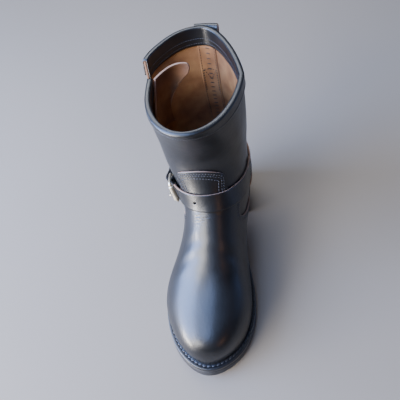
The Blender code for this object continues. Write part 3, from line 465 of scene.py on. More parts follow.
def sew(name, paths, stitch, material):
    """One joined piece of small rounded stitches along paths of (points, normals)."""
    turn = np.arange(STITCH_SIDES) * 2 * math.pi / STITCH_SIDES
    station = np.array(STITCH_STATIONS)
    local = np.stack([
        np.repeat(station[:, 0], STITCH_SIDES) * stitch.length / 2,
        np.outer(station[:, 1], np.cos(turn)).ravel() * stitch.width / 2,
        np.outer(station[:, 1], np.sin(turn)).ravel() * stitch.height / 2], axis=-1)
    one = ring_faces(len(station), STITCH_SIDES, flip=True)
    one.append(tuple(range(STITCH_SIDES))[::-1])
    one.append(tuple(range(len(local)))[-STITCH_SIDES:])
    lean = math.radians(stitch.slant)
    points = []
    faces = []
    for path_points, path_normals in paths:
        centre, along, normal = resample(path_points, path_normals, stitch.pitch)
        beside = unit(np.cross(normal, along))
        forward = along * math.cos(lean) + beside * math.sin(lean)
        aside = np.cross(normal, forward)
        for place, axes in zip(centre, np.stack([forward, aside, normal], axis=1)):
            start = len(points) * len(local)
            points.append(place + local @ axes)
            faces += [tuple(start + i for i in face) for face in one]
    piece = add_piece(name, np.concatenate(points), faces, [material])


WELT_LEATHER = waxed_leather("edge_dyed_black_leather", "#0c0c0e", "#1d1d20",
                             rough_low=0.34, rough_high=0.5, coat=0.1)
# The black thread's twist runs up to a grey well above black: partly painted highlight for the glints on its
# stitches
THREAD = waxed_thread("waxed_black_thread", "#42434a")
welt_rings = [sole_ring(row.inset, WELT_FLOOR + row.height, row.margin_share) for row in WELT_EDGE]
welt_faces = ring_faces(len(welt_rings), OUTLINE_SAMPLES, closed=True)
welt = add_piece("welt_strip", np.concatenate(welt_rings), welt_faces, [WELT_LEATHER])
soften(welt, angle=60)
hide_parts("welt")
channel = sole_ring(CHANNEL_INSET, WELT_FLOOR + WELT_STITCH_UP, CHANNEL_SHARE)
channel = np.concatenate([channel, channel[:1]])
channel_up = np.tile([0.0, 0.0, 1.0], (len(channel), 1))
sew("welt_stitches", [(channel, channel_up)], WELT_STITCH, THREAD)

# Insole: a board of undyed leather inside the boot. It closes the upper from below and the wall is
# lasted round it.
WALL = 2.4
FEATHER_HEIGHT = OUTSOLE_THICK + WELT_THICK + 3 * GAP
INSOLE_INSET = WALL + 3.5
INSOLE_TOP = FEATHER_HEIGHT + 1.2
INSOLE_STEPS = 120
INSOLE_ROUND = 0.6
FLESH_CLOUD = 26.0
FLESH_FIBRE = 1.3


def flesh_side(name, dark, middle, pale, rough=0.88):
    """Undyed leather seen from its flesh side: tan, dull and fibrous, darker where it has been handled."""
    material, tree, surface, place = new_material(name)
    cloud = add_node(tree, "ShaderNodeTexNoise", {
        "Vector": place, "Scale": per_metre(FLESH_CLOUD), "Detail": 6.0})
    add_node(tree, "ShaderNodeValToRGB", {"Fac": cloud}, surface["Base Color"],
             stops=((0.28, dark), (0.74, pale), (0.5, middle)))
    surface["Roughness"].default_value = rough
    surface["Specular IOR Level"].default_value = 0.2
    fibre = add_node(tree, "ShaderNodeTexNoise", {
        "Vector": place, "Scale": per_metre(FLESH_FIBRE), "Detail": 5.0})
    add_node(tree, "ShaderNodeBump", {"Height": fibre, "Strength": 0.4, "Distance": 0.0005},
             surface["Normal"])
    return material


INSOLE_LEATHER = flesh_side("undyed_insole_leather", "#7c5a3c", "#96704c", "#a9825b")
board = Widths(inset_outline(INSOLE_INSET))
board_places = seats(board.toe - END_KEEP, board.heel + END_KEEP, INSOLE_STEPS)
board_low = face_line(board, board_places, OUTSOLE_THICK + GAP)
board_high = face_line(board, board_places, INSOLE_TOP)
insole = plate("insole_board", board_low, board_high, [INSOLE_LEATHER])
round_edges(insole, INSOLE_ROUND, segments=2)
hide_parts("insole")

# Upper: one hollow wall of black cowhide for foot and shaft, lasted over the insole, flesh side in.
# The collar is slit on the outer side; the cut edges show the undyed middle of the leather, darkened as
# partly painted shade.
# Sections from the toe tip up to the collar: place of the ridge, half widths, sideways shifts of the whole
# and of the ridge, undercut in degrees, two shares that shape the curve, and how far the back is drawn in
Section = namedtuple("Section", "top_along top_up outer inner sway ridge undercut egg shoulder back_pull")
FOOT = (
    Section(281.0, 32.0, 0.0, 0.0, 0.0, 0.0, 30.0, 0.00, 0.20, 0.0),
    Section(276.0, 46.5, 15.5, 15.5, -0.3, 0.3, 29.0, 0.00, 0.22, 0.0),
    Section(262.5, 56.5, 29.0, 29.0, -0.8, 0.8, 26.0, 0.00, 0.22, 0.0),
    Section(241.5, 62.5, 40.5, 40.5, -1.6, 1.6, 22.0, 0.02, 0.16, 0.0),
    Section(216.0, 71.0, 48.5, 47.0, -3.0, 3.0, 19.0, 0.06, 0.08, 0.0),
    Section(193.0, 83.5, 49.0, 45.5, -3.0, 3.0, 20.0, 0.12, 0.04, 0.0),
    Section(173.5, 98.0, 42.5, 41.0, -1.0, 1.5, 25.0, 0.14, 0.06, 0.0),
    Section(157.0, 111.5, 37.0, 38.5, 0.0, 0.0, 30.0, 0.12, 0.10, 0.0),
    Section(144.0, 123.0, 37.5, 40.3, 0.0, -1.5, 30.0, 0.08, 0.15, 0.0),
    Section(135.0, 134.0, 41.0, 42.5, 0.0, -4.5, 33.0, 0.04, 0.18, 0.0),
    Section(127.5, 145.0, 44.5, 43.8, 0.0, -7.5, 43.0, 0.00, 0.19, 0.0),
    Section(121.5, 156.0, 47.4, 43.8, 0.0, -9.5, 64.0, 0.00, 0.20, 0.0),
    Section(118.0, 167.0, 49.6, 42.4, -0.5, -9.5, 82.0, 0.00, 0.20, 0.0),
)
SHAFT = (
    Section(117.0, 178.0, 51.0, 41.5, -1.5, -8.2, 89.0, 0.00, 0.20, 0.5),
    Section(119.0, 189.5, 51.5, 42.7, -2.7, -6.2, 90.0, 0.00, 0.18, 2.0),
    Section(123.0, 202.0, 51.2, 45.0, -3.9, -4.2, 90.0, 0.00, 0.15, 4.0),
    Section(128.5, 215.0, 50.6, 46.8, -5.3, -2.6, 90.0, 0.01, 0.11, 6.0),
    Section(135.8, 228.5, 49.0, 47.8, -6.8, -1.4, 90.0, 0.03, 0.07, 8.0),
    Section(143.6, 242.0, 46.2, 48.0, -8.2, -0.5, 90.0, 0.05, 0.04, 9.4),
)
BackLine = namedtuple("BackLine", "along up")
BACK_LINE = (
    BackLine(1.0, 55.5),
    BackLine(0.0, 91.0),
    BackLine(4.0, 129.0),
    BackLine(7.0, 168.0),
    BackLine(3.2, 207.0),
    BackLine(-4.8, 246.0),
)
HEEL_ROW = len(FOOT) - 1
COLLAR_ROW = HEEL_ROW + len(SHAFT)
FULL_UNDERCUT = 90.0
BACK_PUSH = 0.35
SLIT_AROUND = -0.54
SLIT_ROW = 15.6
SLIT_FRONT = 0.050
SLIT_BACK = 0.063
SLIT_SPLAY_FRONT = 3.0
SLIT_SPLAY_BACK = 6.5
SLIT_SPLAY_REACH = 0.13
FEATHER = Widths(inset_outline(0.0))
ROW_STEP = 0.15
AROUND_STEP = 0.01
UPPER_FOOT_ROWS = 96
UPPER_SHAFT_ROWS = 66
UPPER_COLUMNS = 150
TOE_GHOSTS = 3


def section_splines():
    """Splines along the rows; at the toe the rows repeat mirrored so that the tip closes smoothly."""
    rows = np.array(FOOT + SHAFT)
    width_columns = [Section._fields.index("outer"), Section._fields.index("inner")]
    ghosts = rows[TOE_GHOSTS:0:-1].copy()
    ghosts[:, width_columns] *= -1
    return spline(np.arange(-TOE_GHOSTS, len(rows)), np.concatenate([ghosts, rows]))


SECTION_AT = section_splines()


def back_line_spline():
    """The back of the shaft from the heel seat to the collar, leaving the seat upright."""
    seat_along, seat_up = stack(np.array(FEATHER.heel), FEATHER_HEIGHT)
    rows = [(seat_along, seat_up)] + [tuple(row) for row in BACK_LINE]
    ghosts = [rows[2], rows[1]]
    return spline(np.arange(HEEL_ROW - len(ghosts), COLLAR_ROW + 1), np.array(ghosts + rows))


BACK_AT = back_line_spline()


def low_points(row):
    """The lower end of each section: on the feather line in the foot, on the back line in the shaft."""
    turn = np.clip(row / HEEL_ROW, 0, 1) * math.pi
    seat = FEATHER.heel + (FEATHER.toe - FEATHER.heel) * (1 + np.cos(turn)) / 2
    along, up = stack(seat, FEATHER_HEIGHT)
    back = BACK_AT(np.maximum(row, HEEL_ROW))
    in_shaft = row > HEEL_ROW
    return np.where(in_shaft, back[..., 0], along), np.where(in_shaft, back[..., 1], up), seat


def slit_around(row, around, behind):
    """Columns shifted beside the collar slit so that it opens upward, and how far its edges splay."""
    open_share = np.clip((row - SLIT_ROW) / (COLLAR_ROW - SLIT_ROW), 0, 1)
    front = around * (SLIT_AROUND + SLIT_FRONT * open_share) / SLIT_AROUND
    back = -1 + (around + 1) * (SLIT_AROUND - SLIT_BACK * open_share + 1) / (SLIT_AROUND + 1)
    outer = np.where(behind, back, front)
    splay = open_share * np.exp(-((around - SLIT_AROUND) / SLIT_SPLAY_REACH) ** 2)
    return np.where(around < 0, outer, around), splay * np.where(behind, SLIT_SPLAY_BACK, -SLIT_SPLAY_FRONT)


def skin(row, around, behind=None):
    """The upper's outer face: row 0 toe tip to COLLAR_ROW, around -1 outer end, 0 ridge, 1 inner end."""
    row, around = np.broadcast_arrays(np.asarray(row, float), np.asarray(around, float))
    behind = around < SLIT_AROUND if behind is None else behind
    around, splay = slit_around(row, around, behind)
    side = np.where(around < 0, -1.0, 1.0)
    reach = np.abs(around)
    form = np.moveaxis(SECTION_AT(row), -1, 0)
    top_along, top_up, outer, inner, sway, ridge, undercut, egg, shoulder, back_pull = form
    low_along, low_up, seat = low_points(row)
    undercut = np.radians(np.minimum(undercut, FULL_UNDERCUT))
    angle = math.pi / 2 - reach * (math.pi / 2 + undercut)
    rise = (np.sin(angle) + np.sin(undercut)) / (1 + np.sin(undercut))

    def half_width(turn):
        half = (outer + inner) / 2 + side * (inner - outer) / 2 * np.cos(turn)
        return half * np.cos(turn) * (1 - egg * np.sin(turn) + shoulder * np.sin(turn) ** 2)

    feather = np.where(side > 0, FEATHER.at(seat, 1), -FEATHER.at(seat, -1))
    feather = np.where(row >= HEEL_ROW, 0.0, feather)
    across = half_width(angle) + (feather - half_width(-undercut)) * reach**3
    behind_widest = np.clip(-angle / undercut, 0, 1)
    pull = back_pull * np.where(side > 0, 1.0, -BACK_PUSH)
    across = across - pull * np.sin(math.pi * behind_widest)
    x = side * across + sway + ridge * rise - splay
    along = low_along + (top_along - low_along) * rise
    up = low_up + (top_up - low_up) * rise
    return np.stack([x, -along, up], axis=-1)


def outward(row, around, behind=None):
    """Unit normal of the outer face, pointing away from the foot."""
    row, around = np.broadcast_arrays(np.asarray(row, float), np.asarray(around, float))
    kept = np.clip(row, ROW_STEP, COLLAR_ROW - ROW_STEP)
    on_back_line = (np.abs(around) > 1 - AROUND_STEP) & (kept >= HEEL_ROW)
    kept = np.where(on_back_line, np.maximum(kept, HEEL_ROW + ROW_STEP), kept)
    up_row = skin(kept + ROW_STEP, around, behind) - skin(kept - ROW_STEP, around, behind)
    turn = skin(kept, around + AROUND_STEP, behind) - skin(kept, around - AROUND_STEP, behind)
    normal = np.cross(turn, up_row)
    normal[..., 0] *= np.clip(row / ROW_STEP, 0, 1)
    return unit(normal)


def lay(row, around, lift, behind=None):
    """Points a lift above the outer face (below it where lift is negative)."""
    row, around, lift = np.broadcast_arrays(row, around, lift)
    behind = around < SLIT_AROUND if behind is None else behind
    return skin(row, around, behind) + outward(row, around, behind) * lift[..., None]


def grid_faces(rows, columns, skip=()):
    """Quads of a grid of points, leaving out the cells listed as (row, column)."""
    faces = []
    for i in range(rows - 1):
        for j in range(columns - 1):
            if (i, j) not in skip:
                here = i * columns + j
                faces.append((here, here + 1, here + columns + 1, here + columns))
    return faces


def leather_sheet(name, points, thick, sides, skip=(), middle=False):
    """A leather from a grid of points, thickened inward or both ways; sides are face, back and cut edge."""
    rows, columns = points.shape[:2]
    piece = add_piece(name, points, grid_faces(rows, columns, skip), sides)
    piece.data.validate()
    solidify = piece.modifiers.new("thickness", "SOLIDIFY")
    solidify.thickness = thick * MM
    solidify.offset = 0.0 if middle else -1.0
    solidify.use_even_offset = True
    solidify.material_offset = 1
    solidify.material_offset_rim = 2
    return piece


def slit_gap(rows):
    """The cells of the open slit, over all rows."""
    return {(i, slit_column) for i in range(rows)}


BLACK_LEATHER = waxed_leather("waxed_black_smooth_leather", "#050608", "#0c0e12",
                              rough_low=0.36, rough_high=0.46, coat=0.12)
FLESH_SIDE = flesh_side("tan_flesh_side_leather", "#6a4830", "#8c6442", "#a98056")
# The wall's raw cut edge is painted darker than the other raw edges: partly painted shade along the slit
SHADED_WALL_EDGE = flesh_side("cut_wall_edge_painted_shade", "#4c3324", "#5f4330", "#6f5440")
# Columns round the wall with the slit's own column doubled: a back edge and a front edge
wall_columns = np.linspace(-1, 1, UPPER_COLUMNS + 1)
slit_column = int(np.argmin(np.abs(wall_columns - SLIT_AROUND)))
wall_columns[slit_column] = SLIT_AROUND
wall_columns = np.insert(wall_columns, slit_column, SLIT_AROUND)
wall_behind = np.arange(len(wall_columns)) <= slit_column
wall_rows = np.concatenate([
    np.linspace(0, HEEL_ROW, UPPER_FOOT_ROWS), np.linspace(HEEL_ROW, COLLAR_ROW, UPPER_SHAFT_ROWS)[1:]])
wall_points = skin(wall_rows[:, None], wall_columns[None, :], wall_behind[None, :])
upper = leather_sheet("upper_wall", wall_points, WALL, (BLACK_LEATHER, FLESH_SIDE, SHADED_WALL_EDGE),
                      skip=slit_gap(len(wall_rows)))
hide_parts("upper")

# Vamp: the outer leather of the foot, one piece with a squared instep tab and two wings that run back to
# the counter. It is sewn to the wall with rows round the tab and along its wings; its top edge is left raw.
OVERLAY_THICK = 2.2
VAMP_FOOT = 0.985
VAMP_ROWS = 110
VAMP_COLUMNS = 75
VampEdge = namedtuple("VampEdge", "around row")
VAMP_EDGE = (
    VampEdge(0.00, 11.50),
    VampEdge(0.06, 11.47),
    VampEdge(0.12, 11.36),
    VampEdge(0.155, 11.24),
    VampEdge(0.175, 11.12),
    VampEdge(0.190, 10.95),
    VampEdge(0.200, 10.75),
    VampEdge(0.207, 10.45),
    VampEdge(0.215, 9.90),
    VampEdge(0.26, 9.40),
    VampEdge(0.33, 9.10),
    VampEdge(0.40, 8.70),
    VampEdge(0.414, 8.25),
    VampEdge(0.425, 7.75),
    VampEdge(0.450, 7.52),
    VampEdge(0.54, 7.50),
    VampEdge(0.65, 7.62),
    VampEdge(0.75, 7.85),
    VampEdge(0.85, 8.05),
    VampEdge(0.93, 8.18),
    VampEdge(1.00, 8.25),
)
# Folds across the instep, fine ones just below the strap and broad ones over the ball: row and column of
# the middle, lean (rows per column), half length in columns, half width and depth in millimetres
Crease = namedtuple("Crease", "row around lean length width depth")
VAMP_CREASES = (
    Crease(8.05, -0.06, 0.4, 0.26, 2.6, -0.20),
    Crease(7.75, 0.04, -0.3, 0.26, 2.8, -0.14),
    Crease(7.56, -0.140, 1.2, 0.050, 1.0, -0.22),
    Crease(7.47, -0.080, -1.4, 0.050, 0.9, -0.18),
    Crease(7.36, -0.150, -0.6, 0.050, 1.0, -0.20),
    Crease(7.28, -0.080, 1.2, 0.055, 1.0, -0.16),
    Crease(7.50, -0.020, 0.8, 0.050, 0.9, -0.14),
    Crease(7.16, -0.120, -1.2, 0.050, 1.1, -0.14),
    Crease(6.10, -0.30, 0.9, 0.26, 6.0, -0.45),
    Crease(5.60, 0.34, -0.9, 0.28, 6.5, -0.45),
    Crease(5.20, -0.36, 1.1, 0.22, 5.5, -0.35),
)
FOLD_ROWS = (6.95, 7.85)
FOLD_STEPS = 36
RIDGE_SHARE = 0.45
RIDGE_PLACE = 1.9
HALF_ROW = 0.5
SEAM_STITCH = Stitch(pitch=3.1, length=2.3, width=0.95, height=0.75)
SEAM_STEP = 1.5
SEAM_RISE = 0.1
SHIFT_STEPS = 8
TAB_SEAM_RISE = 0.15
TAB_SEAM_INSETS = (2.8, 5.2, 8.8)
TAB_EDGES = 9
TAB_SEAM_END = VampEdge(0.224, 9.30)
CORNER_KEEP = 0.93
WING_FIRST = 11
WING_SEAM_INSETS = (2.6, 5.0)


def crease_lift(row, around, creases):
    """How far the folds press the face down, with a low ridge beside each trough."""
    lift = np.zeros(np.broadcast(row, around).shape)
    for fold in creases:
        middle = fold.row + fold.lean * (around - fold.around)
        row_ends = skin(fold.row + HALF_ROW, fold.around) - skin(fold.row - HALF_ROW, fold.around)
        off = (row - middle) * np.linalg.norm(row_ends) / fold.width
        fade = np.exp(-((around - fold.around) / fold.length) ** 2)
        trough = np.exp(-off**2)
        ridge = np.exp(-(np.abs(off) - RIDGE_PLACE) ** 2)
        lift = lift + fold.depth * fade * (trough - RIDGE_SHARE * ridge)
    return lift


def shift_on_skin(row, around, distance, side):
    """A path of rows and columns moved over the face by a distance to one side of its direction."""
    for _ in range(SHIFT_STEPS):
        points = skin(row, around)
        along = unit(np.gradient(points, axis=0))
        beside = side * np.cross(outward(row, around), along) * distance / SHIFT_STEPS
        by_row = (skin(row + ROW_STEP, around) - skin(row - ROW_STEP, around)) / (2 * ROW_STEP)
        by_around = (skin(row, around + AROUND_STEP) - skin(row, around - AROUND_STEP)) / (2 * AROUND_STEP)
        row_row = np.sum(by_row * by_row, axis=-1)
        row_around = np.sum(by_row * by_around, axis=-1)
        around_around = np.sum(by_around * by_around, axis=-1)
        beside_row = np.sum(beside * by_row, axis=-1)
        beside_around = np.sum(beside * by_around, axis=-1)
        size = row_row * around_around - row_around**2
        row = row + (beside_row * around_around - beside_around * row_around) / size
        around = around + (beside_around * row_row - beside_row * row_around) / size
    return row, around


def seam(row, around, inset, side, lift):
    """A sewing line at an inset from a cut edge: points on the leather's face and their normals."""
    length = path_length(skin(row, around))
    where = np.arange(0, length[-1], SEAM_STEP)
    row = np.interp(where, length, row)
    around = np.interp(where, length, around)
    edge = skin(row, around)
    row, around = shift_on_skin(row, around, inset, side)
    away = np.linalg.norm(skin(row, around)[:, None] - edge[None], axis=-1).min(axis=1)
    kept = away > CORNER_KEEP * inset
    return lay(row[kept], around[kept], lift), outward(row[kept], around[kept])


CUT_EDGE = flesh_side("raw_cut_leather_edge", "#836655", "#997c69", "#ab907d", rough=0.75)
RAW_EDGED = (BLACK_LEATHER, FLESH_SIDE, CUT_EDGE)
vamp_table = np.array(VAMP_EDGE)
vamp_half = np.unique(np.concatenate([np.linspace(0, VAMP_FOOT, VAMP_COLUMNS + 1), vamp_table[:-1, 0]]))
vamp_columns = np.concatenate([-vamp_half[:0:-1], vamp_half])
vamp_edge = np.interp(np.abs(vamp_columns), vamp_table[:, 0], vamp_table[:, 1])
fold_share = np.linspace(*FOLD_ROWS, FOLD_STEPS) / VAMP_EDGE[0].row
vamp_share = np.unique(np.concatenate([np.linspace(0, 1, VAMP_ROWS + 1), fold_share]))
vamp_rows = vamp_share[:, None] * vamp_edge[None, :]
vamp_around = np.broadcast_to(vamp_columns[None, :], vamp_rows.shape)
vamp_lift = GAP + OVERLAY_THICK + crease_lift(vamp_rows, vamp_around, VAMP_CREASES)
vamp = leather_sheet("vamp_leather", lay(vamp_rows, vamp_around, vamp_lift), OVERLAY_THICK, RAW_EDGED)
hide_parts("vamp")
tab_row = np.append(vamp_table[:TAB_EDGES, 1], TAB_SEAM_END.row)
tab_around = np.append(vamp_table[:TAB_EDGES, 0], TAB_SEAM_END.around)
tab_path = (np.concatenate([tab_row[:0:-1], tab_row]), np.concatenate([-tab_around[:0:-1], tab_around]))
wing_around, wing_row = vamp_table[WING_FIRST:].T
stitch_lift = GAP + OVERLAY_THICK + TAB_SEAM_RISE
vamp_seams = [seam(*tab_path, inset, -1, stitch_lift) for inset in TAB_SEAM_INSETS]
for side in (1, -1):
    wing_path = (wing_row, side * wing_around)
    vamp_seams += [seam(*wing_path, inset, -side, stitch_lift) for inset in WING_SEAM_INSETS]
sew("vamp_stitches", vamp_seams, SEAM_STITCH, THREAD)

# Counter: the outer leather round the heel, moulded wet over a stiffener and sewn down along its arched top
# edge with two rows.
COUNTER_LIFT = 0.9
COUNTER_THICK = 2.2
COUNTER_FOOT = 1.6
COUNTER_HEIGHT = 51.0
COUNTER_REACH = 58.0
COUNTER_POWER = 2.2
COUNTER_ROWS = 26
COUNTER_COLUMNS = 70
COUNTER_TOP_SHARE = 0.995
COUNTER_SEAMS = (0.95, 0.90)
COUNTER_SEAM_STEPS = 48
HEEL_AXIS = 38.0
HEEL_ROUND = 32.0
HEEL_NEAREST = 30
HEEL_WALL_ROWS = (7.0, 15.0)
HEEL_WALL_AROUND = 0.5
HEEL_TURN_LIMIT = 150.0
HEEL_WALL_GRID = (161, 61)
HEEL_TURN_STEPS = 41
COUNTER_SEAM_END = 0.06


def heel_wall():
    """Dense points of the wall round the heel: turn about an upright axis, height and radius."""
    rows = np.linspace(*HEEL_WALL_ROWS, HEEL_WALL_GRID[0])[:, None]
    around = np.linspace(HEEL_WALL_AROUND, 1.0, HEEL_WALL_GRID[1])[None, :]
    wall = np.concatenate([skin(rows, side * around).reshape(-1, 3) for side in (1, -1)])
    back = wall[:, 1] + HEEL_AXIS
    return np.arctan2(wall[:, 0], back), wall[:, 2], np.hypot(wall[:, 0], back)


HEEL_TURN, HEEL_UP, HEEL_RADIUS = heel_wall()


def heel_point(turn, up, lift):
    """A point off the heel's wall at a turn from the back, found from the nearest points of the wall."""
    away = ((HEEL_TURN - turn) * HEEL_ROUND) ** 2 + (HEEL_UP - up) ** 2
    near = np.argpartition(away, HEEL_NEAREST)[:HEEL_NEAREST]
    slopes = np.stack([np.ones(HEEL_NEAREST), HEEL_TURN[near] - turn, HEEL_UP[near] - up], axis=1)
    radius = np.linalg.lstsq(slopes, HEEL_RADIUS[near], rcond=None)[0][0] + lift
    return radius * math.sin(turn), radius * math.cos(turn) - HEEL_AXIS, up


HEEL_SEAT = float(stack(np.array(FEATHER.heel), FEATHER_HEIGHT)[1])
HEEL_TURNS = np.radians(np.linspace(0, HEEL_TURN_LIMIT, HEEL_TURN_STEPS))


def turn_at(up, front, side):
    """The turn at which the heel's wall lies a distance forward, at a height on one side."""
    along = [-heel_point(side * turn, HEEL_SEAT + up, COUNTER_LIFT)[1] for turn in HEEL_TURNS]
    return side * np.interp(front, along, HEEL_TURNS)


def counter_limits(up):
    """The turns at which the counter's front edge lies on both sides at a height."""
    share = min(up / COUNTER_HEIGHT, COUNTER_TOP_SHARE)
    front = COUNTER_REACH * (1 - share**COUNTER_POWER) ** (1 / COUNTER_POWER)
    return [turn_at(up, front, side) for side in (1, -1)]


def counter_seam(share):
    """A sewing line on the counter that follows its arched edge at a share of its size."""
    points = []
    for lean in np.linspace(COUNTER_SEAM_END, math.pi - COUNTER_SEAM_END, COUNTER_SEAM_STEPS + 1):
        up = share * COUNTER_HEIGHT * math.sin(lean) ** (2 / COUNTER_POWER)
        front = share * COUNTER_REACH * abs(math.cos(lean)) ** (2 / COUNTER_POWER)
        turn = turn_at(up, front, 1 if lean < math.pi / 2 else -1)
        points.append(heel_point(turn, HEEL_SEAT + up, COUNTER_LIFT + COUNTER_THICK + SEAM_RISE))
    points = np.array(points)
    normals = points + np.array([0.0, HEEL_AXIS, 0.0])
    normals[:, 2] = 0.0
    return points, unit(normals)


counter_share = np.sin(np.linspace(0, math.pi / 2, COUNTER_ROWS + 1))
counter_face = COUNTER_LIFT + COUNTER_THICK
counter_lines = []
for height in COUNTER_FOOT + (COUNTER_HEIGHT - COUNTER_FOOT) * counter_share:
    turns = np.linspace(*counter_limits(height), COUNTER_COLUMNS + 1)
    counter_lines.append([heel_point(turn, HEEL_SEAT + height, counter_face) for turn in turns])
counter = leather_sheet("counter_leather", np.array(counter_lines), COUNTER_THICK, RAW_EDGED)
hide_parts("counter")
counter_seams = [counter_seam(share) for share in COUNTER_SEAMS]
sew("counter_stitches", counter_seams, SEAM_STITCH, THREAD)

# Backstay: a strip of black leather over the back seam, from the counter up to the collar's band, sewn
# along both of its edges.
BACKSTAY_AROUND = 0.93
BACKSTAY_SEAM = 0.013
BACKSTAY_THICK = 2.0
BAND_HEIGHT = 12.0
BACKSTAY_ROWS = 70
BACKSTAY_COLUMNS = 6
TRACE_STEPS = 500
STRAP_TRACE_ROW = 4.0


def trace(around, first_row):
    """Dense rows and points up each column from a first row to the collar."""
    rows = np.linspace(first_row, COLLAR_ROW, TRACE_STEPS)
    return rows, skin(rows[:, None], np.asarray(around)[None, :])


def row_below_collar(around, distance):
    """The row that lies a distance down from the collar along each column."""
    rows, points = trace(around, HEEL_ROW)
    lengths = np.linalg.norm(np.diff(points, axis=0), axis=-1)[::-1].cumsum(axis=0)
    return np.array([np.interp(distance, lengths[:, j], rows[-2::-1]) for j in range(len(around))])


def row_on_plane(around, level, slope):
    """The row where each column crosses the tilted plane up = level + slope * along."""
    rows, points = trace(around, STRAP_TRACE_ROW)
    height = points[..., 2] + slope * points[..., 1]
    return np.array([np.interp(level, height[:, j], rows) for j in range(len(around))])


stay_half = np.linspace(BACKSTAY_AROUND, 1.0, BACKSTAY_COLUMNS + 1)
stay_low = row_on_plane(stay_half, HEEL_SEAT + COUNTER_HEIGHT - 4 * GAP, 0.0)
stay_high = row_below_collar(stay_half, BAND_HEIGHT + 2 * GAP)
stay_columns = np.concatenate([stay_half, -stay_half[::-1]])
stay_share = np.linspace(0, 1, BACKSTAY_ROWS + 1)[:, None]
stay_first = np.concatenate([stay_low, stay_low[::-1]])
stay_last = np.concatenate([stay_high, stay_high[::-1]])
stay_rows = stay_first + (stay_last - stay_first) * stay_share
stay_points = lay(stay_rows, stay_columns[None, :], GAP + BACKSTAY_THICK)
stay_back = stay_points[:, BACKSTAY_COLUMNS:BACKSTAY_COLUMNS + 2].mean(axis=1)
stay_points = np.delete(stay_points, BACKSTAY_COLUMNS + 1, axis=1)
stay_points[:, BACKSTAY_COLUMNS] = stay_back
backstay = leather_sheet("backstay_strip", stay_points, BACKSTAY_THICK, RAW_EDGED)
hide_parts("backstay")
stay_seams = []
for side in (1, -1):
    seam_around = np.full(BACKSTAY_ROWS + 1, side * (BACKSTAY_AROUND + BACKSTAY_SEAM))
    seam_points = lay(stay_rows[:, 1], seam_around, GAP + BACKSTAY_THICK + SEAM_RISE)
    stay_seams.append((seam_points, outward(stay_rows[:, 1], seam_around)))
sew("backstay_stitches", stay_seams, SEAM_STITCH, THREAD)

# Collar facing: a strip of thin black leather folded over the shaft's edge, short outside and deep inside,
# held by one row outside and two rows inside.
FACING_DEPTH = 18.0
FACING_THICK = 1.3
FACING_BAND_STEPS = 10
FACING_TOP_STEPS = 10
FACING_DEEP_STEPS = 16
FACING_TOP_RISE = 1.7
FACING_TOP_POWER = 0.7
COLLAR_STEP = 0.05
BAND_SEAM = 9.6
DEEP_SEAMS = (10.5, 15.5)
FACING_STITCH = Stitch(pitch=2.6, length=1.9, width=0.8, height=0.6)
DYED = (BLACK_LEATHER, BLACK_LEATHER, WELT_LEATHER)

collar_row = np.full(len(wall_columns), float(COLLAR_ROW))
band_row = row_below_collar(wall_columns, BAND_HEIGHT)
deep_row = row_below_collar(wall_columns, FACING_DEPTH)
collar_rise = unit(skin(collar_row, wall_columns, wall_behind)
                   - skin(collar_row - COLLAR_STEP, wall_columns, wall_behind))
OUT_LIFT = GAP + FACING_THICK
IN_LIFT = -(WALL + GAP + FACING_THICK)
facing_lines = []
for share in np.linspace(0, 1, FACING_BAND_STEPS + 1):
    facing_lines.append(lay(band_row + (collar_row - band_row) * share, wall_columns, OUT_LIFT, wall_behind))
for turn in np.linspace(0, math.pi, FACING_TOP_STEPS + 1)[1:-1]:
    lift = (OUT_LIFT + IN_LIFT) / 2 + (OUT_LIFT - IN_LIFT) / 2 * math.cos(turn)
    rise = collar_rise * FACING_TOP_RISE * math.sin(turn) ** FACING_TOP_POWER
    facing_lines.append(lay(collar_row, wall_columns, lift, wall_behind) + rise)
for share in np.linspace(0, 1, FACING_DEEP_STEPS + 1):
    facing_lines.append(lay(collar_row + (deep_row - collar_row) * share, wall_columns, IN_LIFT, wall_behind))
facing = leather_sheet("collar_facing_strip", np.stack(facing_lines), FACING_THICK, DYED,
                       skip=slit_gap(len(facing_lines)))
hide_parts("collar_facing")


def collar_seam(distance, lift, face):
    """The two runs of a sewing line round the collar, on each side of the slit."""
    row = row_below_collar(wall_columns, distance)
    points = lay(row, wall_columns, lift, wall_behind)
    normals = face * outward(row, wall_columns, wall_behind)
    return [(points[wall_behind][:-1], normals[wall_behind][:-1]),
            (points[~wall_behind][1:], normals[~wall_behind][1:])]


collar_seams = collar_seam(BAND_SEAM, OUT_LIFT + SEAM_RISE, 1)
for depth in DEEP_SEAMS:
    collar_seams += collar_seam(depth, IN_LIFT - SEAM_RISE, -1)
sew("collar_stitches", collar_seams, FACING_STITCH, THREAD)

# Back seam tape: a strip of undyed leather over the inside of the back seam, from the facing down into the
# heel. Two rows hold its edges, closing stitches cross the seam, and a box with a V ties the loop's ends
# outside.
TAPE_HALF = 10.6
TAPE_SHIFT = 4.0
TAPE_THICK = 0.8
TAPE_TOP = FACING_DEPTH + 0.4
TAPE_LOW = 140.0
TAPE_ROWS = 40
TAPE_COLUMNS = 12
TAPE_BESIDE = 0.72
TAPE_WALL_STEPS = 41
TAPE_SEAM = 8.7
TAPE_STITCH = SEAM_STITCH._replace(width=0.8, height=0.6)
BOX_TOP = 46.0
BOX_LOW = 74.0
BOX_HALF = 7.6
BOX_POINT = 58.0
LADDER_STEP = 6.0
LADDER_HALF = 2.8
LADDER_STITCH = Stitch(pitch=2 * LADDER_HALF, length=2 * LADDER_HALF, width=1.3, height=0.6)


def back_columns(first, steps):
    """Columns round the back line, from a column of the outer side to the same of the inner side."""
    beside = np.linspace(first, 1.0, steps)
    return np.concatenate([-beside, beside[::-1]])


